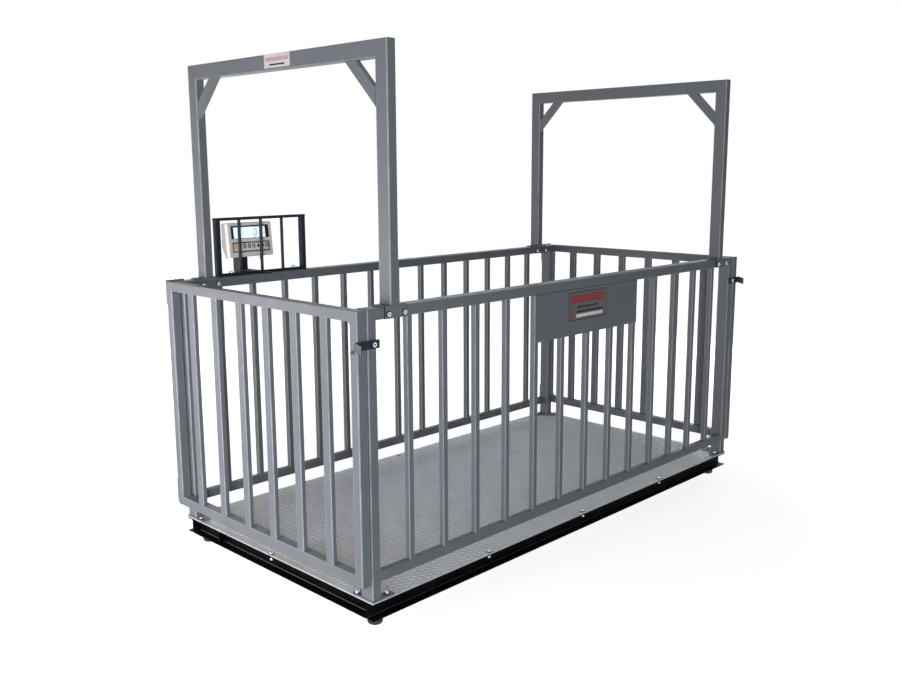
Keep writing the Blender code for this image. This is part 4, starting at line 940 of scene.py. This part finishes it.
# Guard, column and junction box
def pull_ring(bm):
    """A ring of round wire about the Z axis."""
    bmesh.ops.create_circle(
        bm, segments=8, radius=RING_WIRE,
        matrix=Matrix.Translation((RING_RADIUS, 0, 0)) @ Matrix.Rotation(math.pi / 2, 4, "X"),
    )
    bmesh.ops.spin(
        bm, geom=bm.verts[:] + bm.edges[:], cent=(0, 0, 0), axis=(0, 0, 1), angle=math.tau,
        steps=24, use_merge=True,
    )


def guard_rings():
    """Two pull rings on collars, on the guard's lower rail."""
    low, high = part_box("indicator_guard")
    middle_y = (low.y + high.y) / 2
    foot_top = CAGE_TOP + GUARD_FOOT_TALL
    radius, tall = RING_COLLAR
    out, rise = (RING_RADIUS * offset for offset in RING_OFFSET)

    def collar(part):
        disc(part, 14, radius, 0, tall, top=radius * RING_COLLAR_TAPER)

    bm = bmesh.new()
    for x in RING_X:
        placed(bm, collar, (x, middle_y, foot_top))
        placed(bm, pull_ring, (x, middle_y - out, foot_top + tall + rise), RING_AXIS)
    finish_piece(bm, "guard_rings", DARK_STEEL_AND_SHADE)


def guard_sleeves():
    """Sleeves on the guard's rods, a strip along its top rail and the flat bar under its lower rail."""
    low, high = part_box("indicator_guard")
    middle_y = (low.y + high.y) / 2
    foot_top = CAGE_TOP + GUARD_FOOT_TALL

    def sleeve(part):
        disc(part, 20, GUARD_SLEEVE, foot_top, high.z - GUARD_STRIP / 2)

    bm = bmesh.new()
    for x in GUARD_ROD_X:
        placed(bm, sleeve, (x, middle_y, 0))
    for bottom, top in ((high.z - GUARD_STRIP, high.z - GUARD_STRIP_SINK), (CAGE_TOP, foot_top)):
        slab(
            bm,
            (low.x + GUARD_INSET, low.y + GUARD_INSET, bottom),
            (high.x - GUARD_INSET, high.y - GUARD_INSET, top),
            GUARD_EDGE,
        )
    finish_piece(bm, "guard_sleeves", DARK_PAINT)


def column_foot():
    """The stub of the indicator's column that passes through the arm and is welded under it."""
    low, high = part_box("indicator_column")
    middle = (low.x + high.x) / 2
    back = high.y - COLUMN_INSET
    bm = bmesh.new()
    slab(
        bm,
        (middle - COLUMN_STUB / 2, back - COLUMN_STUB, CAGE_TOP - COLUMN_BELOW),
        (middle + COLUMN_STUB / 2, back, CAGE_TOP + COLUMN_LAP),
        COLUMN_EDGE,
    )
    finish_piece(bm, "column_foot", DARK_PAINT)


def box_lid_screws():
    """Screw heads in the corners of the junction box's lid, seen from below."""
    low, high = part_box("junction_box_lid")
    base, top = SCREW_RADII
    bm = bmesh.new()
    for x in (low.x + SCREW_INSET, high.x - SCREW_INSET):
        for y in (low.y + SCREW_INSET, high.y - SCREW_INSET):
            placed(bm, lambda part: disc(part, 14, base, 0, SCREW_TALL, top=top), (x, y, low.z), (0, 0, -1))
    finish_piece(bm, "box_lid_screws", ZINC)


# Indicator face
def face_matrix(u, depth, v):
    """Turn drawings on the floor plane (u, v) into marks on the leaning face."""
    face = Matrix.Translation(FACE_AT) @ Matrix.Rotation(-FACE_LEAN, 4, "X")
    return face @ Matrix.Translation((u, depth, v)) @ Matrix.Rotation(math.pi / 2, 4, "X")


def on_face(bm, u, depth, v, name, finish, body="frame"):
    bmesh.ops.transform(bm, matrix=face_matrix(u, depth, v), verts=bm.verts)
    finish_piece(bm, name, finish, body)


def flat_bar(bm, low, high, thick=INK_THICK):
    slab(bm, (*low, 0), (*high, thick))


def flat_frame(bm, outer_low, outer_high, inner_low, inner_high):
    """A picture-frame shape from four bars."""
    flat_bar(bm, outer_low, (inner_low[0], outer_high[1]))
    flat_bar(bm, (inner_high[0], outer_low[1]), outer_high)
    flat_bar(bm, (inner_low[0], outer_low[1]), (inner_high[0], inner_low[1]))
    flat_bar(bm, (inner_low[0], inner_high[1]), (inner_high[0], outer_high[1]))


def flat_ring(bm, radii, line):
    """An oval ring, or a filled oval where the line is as wide as the oval."""
    part = bmesh.new()
    bmesh.ops.create_circle(part, cap_ends=True, segments=28, radius=1.0)
    bmesh.ops.scale(part, verts=part.verts, vec=(*radii, 1))
    middle = part.faces[:]
    if line < min(radii):
        bmesh.ops.inset_individual(part, faces=middle, thickness=line, use_even_offset=True)
        bmesh.ops.delete(part, geom=middle, context="FACES")
    raised, _ = extruded(part, part.faces[:])
    bmesh.ops.translate(part, verts=raised, vec=(0, 0, INK_THICK))
    add_to(bm, part)


# Marks of the keys, drawn in metres from the middle of the key
def flat_arrow(bm, up):
    """A broad arrow that points up the face or down it."""
    tip = disc(bm, 3, ARROW_HEAD, 0, INK_THICK, math.radians(90 * up))
    bmesh.ops.translate(bm, verts=tip, vec=(0, up * ARROW_RISE, 0))
    bottom, top = sorted((0, -up * ARROW_TAIL))
    flat_bar(bm, (-ARROW_STROKE, bottom), (ARROW_STROKE, top))


def power_mark(bm):
    flat_ring(bm, (0.0064, 0.0064), 0.0026)
    flat_bar(bm, (-0.0011, 0.0010), (0.0011, 0.0085), INK_THICK * 1.4)


def target_mark(bm):
    flat_ring(bm, (0.0070, 0.0086), 0.0030)
    flat_ring(bm, (0.0025, 0.0034), 0.0040)


def pause_mark(bm):
    flat_bar(bm, (-0.0062, -0.0080), (-0.0018, 0.0080))
    flat_bar(bm, (0.0018, -0.0080), (0.0062, 0.0080))


def cross_mark(bm):
    flat_bar(bm, (-0.0068, -0.0022), (0.0068, 0.0022))
    flat_bar(bm, (-0.0022, -0.0080), (0.0022, 0.0080), INK_THICK * 1.2)


def square_mark(bm):
    flat_frame(bm, (-0.0066, -0.0082), (0.0066, 0.0082), (-0.0036, -0.0050), (0.0036, 0.0050))
    flat_bar(bm, (-0.0036, -0.0012), (0.0036, 0.0012))


KEY_MARKS = (
    power_mark,
    lambda bm: flat_arrow(bm, 1),
    lambda bm: flat_ring(bm, (0.0068, 0.0085), 0.0038),
    target_mark,
    pause_mark,
    lambda bm: flat_arrow(bm, -1),
    cross_mark,
    square_mark,
)


def key_marks():
    """A plain mark on every key; each moves with its key."""
    for n, mark in enumerate(KEY_MARKS, 1):
        low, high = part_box(f"key_{n}")
        bm = bmesh.new()
        mark(bm)
        bmesh.ops.scale(bm, verts=bm.verts, vec=(MARK_SIZE, MARK_SIZE, 1))
        finish = POWER_INK if n == 1 else INK
        on_face(bm, (low.x + high.x) / 2 - FACE_AT.x, KEY_FRONT, KEY_V, f"key_{n}_mark", finish, f"key_{n}")


def display_marks():
    """The dark border round the display, the digit 0 on it, and the keypad's border."""
    bm = bmesh.new()
    inner = zip(LCD_U, LCD_V)
    flat_frame(bm, (-WINDOW_U, WINDOW_V[0]), (WINDOW_U, WINDOW_V[1]), *inner)
    on_face(bm, 0, WINDOW_DEPTH, 0, "display_border", INK)
    bm = bmesh.new()
    inner_low = (-FILM_U + FILM_BORDER, FILM_V[0] + FILM_BORDER)
    inner_high = (FILM_U - FILM_BORDER, FILM_V[1] - FILM_BORDER)
    flat_frame(bm, (-FILM_U, FILM_V[0]), (FILM_U, FILM_V[1]), inner_low, inner_high)
    on_face(bm, 0, FILM_DEPTH, 0, "keypad_border", INK)
    bm = bmesh.new()
    flat_ring(bm, ((DIGIT_U[1] - DIGIT_U[0]) / 2, (DIGIT_V[1] - DIGIT_V[0]) / 2), DIGIT_STROKE)
    on_face(bm, sum(DIGIT_U) / 2, LCD_DEPTH, sum(DIGIT_V) / 2, "display_digit", DIGIT_INK)


# Painted shadows in gaps, and painted highlights along the channels' bends
def channel_bend_highlights():
    """A painted highlight along the bend between web and lower flange, in the left and the near channel."""
    floor = DECK_TOP - CHANNEL_FLOOR + CHANNEL_WALL
    end_x = HALF_LENGTH - CHANNEL_END
    web_x = CHANNEL_MOUTH - HALF_LENGTH - CHANNEL_WALL
    web_y = HALF_WIDTH - CHANNEL_MOUTH
    near_web = MIDDLE_Y - web_y - CHANNEL_WALL
    bm = bmesh.new()
    width, radius = LEFT_BEND_HIGHLIGHT
    slab(bm, (web_x - width, MIDDLE_Y - web_y, floor), (web_x, MIDDLE_Y + web_y, floor + width), radius)
    width, radius = NEAR_BEND_HIGHLIGHT
    slab(bm, (-end_x, near_web - width, floor), (end_x, near_web, floor + width), radius)
    finish_piece(bm, "channel_bend_highlights", BEND_HIGHLIGHT_PAINT)


def sign_gap_shadow():
    """Painted shadow along the top edge and the right edge of the near panel's plate."""
    low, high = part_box("sign_plate")
    bm = bmesh.new()
    slab(bm, (low.x, low.y, high.z), (high.x, high.y, high.z + SIGN_GAP_SHADOW))
    slab(bm, (high.x, low.y, low.z), (high.x + SIGN_GAP_SHADOW, high.y, high.z))
    finish_piece(bm, "sign_gap_shadow", GAP_SHADOW_PAINT)


def saddle_gap_shadows():
    """Painted shadow down both edges of the arch saddles' outer plates."""
    bm = bmesh.new()
    for side in END_SIGN:
        for across in ("near", "far"):
            low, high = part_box(f"arch_{side}_leg_{across}")
            front = low.y if across == "near" else high.y - SADDLE_PLATE
            back = front + SADDLE_PLATE
            for x in (low.x - SADDLE_GAP_SHADOW, high.x):
                slab(bm, (x, front + SADDLE_GAP_SHADOW_SINK, low.z), (x + SADDLE_GAP_SHADOW, back, low.z + SADDLE_TALL))
    finish_piece(bm, "saddle_gap_shadows", GAP_SHADOW_PAINT)


# Labels
def label_on_beam(area, layers, name, finish):
    """A thin film on the outer face of the left arch's beam, its area given in Y and Z."""
    (near, far), (bottom, top) = area
    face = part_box("arch_left_beam")[0].x
    front = face - LABEL_THICK * layers
    bm = bmesh.new()
    slab(bm, (front, MIDDLE_Y + near, DECK_TOP + bottom), (face, MIDDLE_Y + far, DECK_TOP + top))
    finish_piece(bm, name, finish)


def label_on_sign(area, layers, name, finish):
    """A thin film on the near panel's plate, its area given in X and Z."""
    (left, right), (bottom, top) = area
    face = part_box("sign_plate")[0].y
    bm = bmesh.new()
    slab(bm, (left, face - LABEL_THICK * layers, DECK_TOP + bottom), (right, face, DECK_TOP + top))
    finish_piece(bm, name, finish)


def labels():
    """The small label on the left arch's beam and the larger one on the near panel's plate."""
    label_on_beam(BEAM_LABEL, GROUND_LAYER, "beam_label", LABEL_WHITE)
    label_on_beam(BEAM_BAND, PRINT_LAYER, "beam_label_band", LABEL_ROSE)
    label_on_beam(BEAM_BAR, PRINT_LAYER, "beam_label_bar", LABEL_BAR)
    label_on_sign(SIGN_LABEL, GROUND_LAYER, "sign_label_rim", INK)
    ground = [(low + SIGN_RIM, high - SIGN_RIM) for low, high in SIGN_LABEL]
    label_on_sign(ground, PRINT_LAYER, "sign_label", LABEL_GREY)
    label_on_sign(SIGN_BAND, TOP_LAYER, "sign_label_band", LABEL_RED)
    label_on_sign(SIGN_STRIP, TOP_LAYER, "sign_label_strip", LABEL_PINK)
    label_on_sign(SIGN_TAB, TOP_LAYER, "sign_label_tab", LABEL_RED)
    for n, bar in enumerate(SIGN_BARS, 1):
        label_on_sign(bar, TOP_LAYER, f"sign_label_bar_{n}", LABEL_BAR)


# Floor, backdrop, light and camera
def seen_directly(tree):
    """1 for what the camera sees, also by way of a reflection or through glass."""
    path = node(tree, "ShaderNodeLightPath")
    total = path.outputs["Is Camera Ray"]
    for name in ("Is Glossy Ray", "Is Transmission Ray"):
        total = calculate(tree, "MAXIMUM", total, path.outputs[name])
    return total


def studio_floor():
    """A pale floor that looks white, with a faint shadow round the scale."""
    bm = bmesh.new()
    bmesh.ops.create_grid(bm, x_segments=4, y_segments=4, size=FLOOR_SIZE)
    mesh = bpy.data.meshes.new("studio_floor")
    bm.to_mesh(mesh)
    bm.free()
    made = bpy.data.objects.new("studio_floor", mesh)
    bpy.context.scene.collection.objects.link(made)
    finish, tree, shader = new_material("pale_floor")
    shader.inputs["Base Color"].default_value = (*FLOOR_COLOUR, 1)
    shader.inputs["Roughness"].default_value = 0.9
    glow = node(tree, "ShaderNodeEmission")
    reach = node(tree, "ShaderNodeVectorMath", operation="LENGTH")
    tree.links.new(coords(tree), reach.inputs[0])
    strength = spread(tree, reach.outputs["Value"], *FLOOR_SHADOW_REACH, FLOOR_SHADOW_WHITE, 1.0)
    tree.links.new(strength, glow.inputs["Strength"])
    dark = node(tree, "ShaderNodeEmission", Strength=0.0)
    pick = node(tree, "ShaderNodeMixShader")
    tree.links.new(seen_directly(tree), pick.inputs[0])
    tree.links.new(dark.outputs[0], pick.inputs[1])
    tree.links.new(glow.outputs[0], pick.inputs[2])
    both = node(tree, "ShaderNodeAddShader")
    tree.links.new(shader.outputs[0], both.inputs[0])
    tree.links.new(pick.outputs[0], both.inputs[1])
    tree.links.new(both.outputs[0], tree.nodes["Material Output"].inputs["Surface"])
    mesh.materials.append(finish)


def studio_world():
    """A faint even light, and plain white where the camera or a reflection sees it."""
    world = bpy.data.worlds.new("studio")
    bpy.context.scene.world = world
    world.use_nodes = True
    tree = world.node_tree
    soft = tree.nodes["Background"]
    soft.inputs["Color"].default_value = (*SOFT_COLOUR, 1)
    soft.inputs["Strength"].default_value = SOFT_LIGHT
    white = node(tree, "ShaderNodeBackground", Strength=1.0)
    white.inputs["Color"].default_value = (1, 1, 1, 1)
    pick = node(tree, "ShaderNodeMixShader")
    tree.links.new(seen_directly(tree), pick.inputs[0])
    tree.links.new(soft.outputs[0], pick.inputs[1])
    tree.links.new(white.outputs[0], pick.inputs[2])
    tree.links.new(pick.outputs[0], tree.nodes["World Output"].inputs["Surface"])


def lamp(name, spot, target, size, watts, colour):
    data = bpy.data.lights.new(name, "AREA")
    data.shape = "RECTANGLE"
    data.size, data.size_y = size
    data.energy = watts
    data.color = colour
    made = bpy.data.objects.new(name, data)
    bpy.context.scene.collection.objects.link(made)
    made.location = spot
    made.rotation_euler = (Vector(target) - Vector(spot)).to_track_quat("-Z", "Y").to_euler()
    made.visible_camera = False


def studio_light():
    for name, (spot, target, size, watts, colour) in LAMPS.items():
        lamp(name, spot, target, size, watts, colour)


def camera():
    yaw, pitch, roll = (math.radians(a) for a in (CAMERA_YAW, CAMERA_PITCH, CAMERA_ROLL))
    ahead = Vector((math.sin(yaw) * math.cos(pitch), math.cos(yaw) * math.cos(pitch), math.sin(pitch)))
    level = Vector((math.cos(yaw), -math.sin(yaw), 0))
    right = level * math.cos(roll) + level.cross(ahead) * math.sin(roll)
    up = right.cross(ahead)
    data = bpy.data.cameras.new("camera")
    data.sensor_width = SENSOR
    data.lens = FOCAL_PIXELS * SENSOR / PHOTO_SIZE[0]
    data.shift_x = (PHOTO_SIZE[0] / 2 - MIDDLE_PIXEL[0]) / PHOTO_SIZE[0]
    data.shift_y = (MIDDLE_PIXEL[1] - PHOTO_SIZE[1] / 2) / PHOTO_SIZE[0]
    made = bpy.data.objects.new("camera", data)
    turn = Matrix((right, up, -ahead)).transposed().to_4x4()
    made.matrix_world = Matrix.Translation(CAMERA_AT) @ turn
    bpy.context.scene.collection.objects.link(made)
    bpy.context.scene.camera = made


# The pieces, then the studio
for end, side in END_SIGN.items():
    tread(f"tread_{end}", side, 0, LIT_TREAD_PAINT)
    tread(f"tread_cross_{end}", side, 1, SHADED_CROSS_TREAD_PAINT)
bolts()
panel_welds()
arch_welds()
post_welds()
for end in END_SIGN:
    gate_welds(end)
    gate_peg(end)
    latch_strap(end)
    latch_bolt_socket_shade(end)
guard_rings()
guard_sleeves()
column_foot()
sign_gap_shadow()
saddle_gap_shadows()
channel_bend_highlights()
box_lid_screws()
display_marks()
key_marks()
labels()
studio_floor()
studio_world()
studio_light()
camera()
bpy.context.scene.view_settings.view_transform = "Standard"
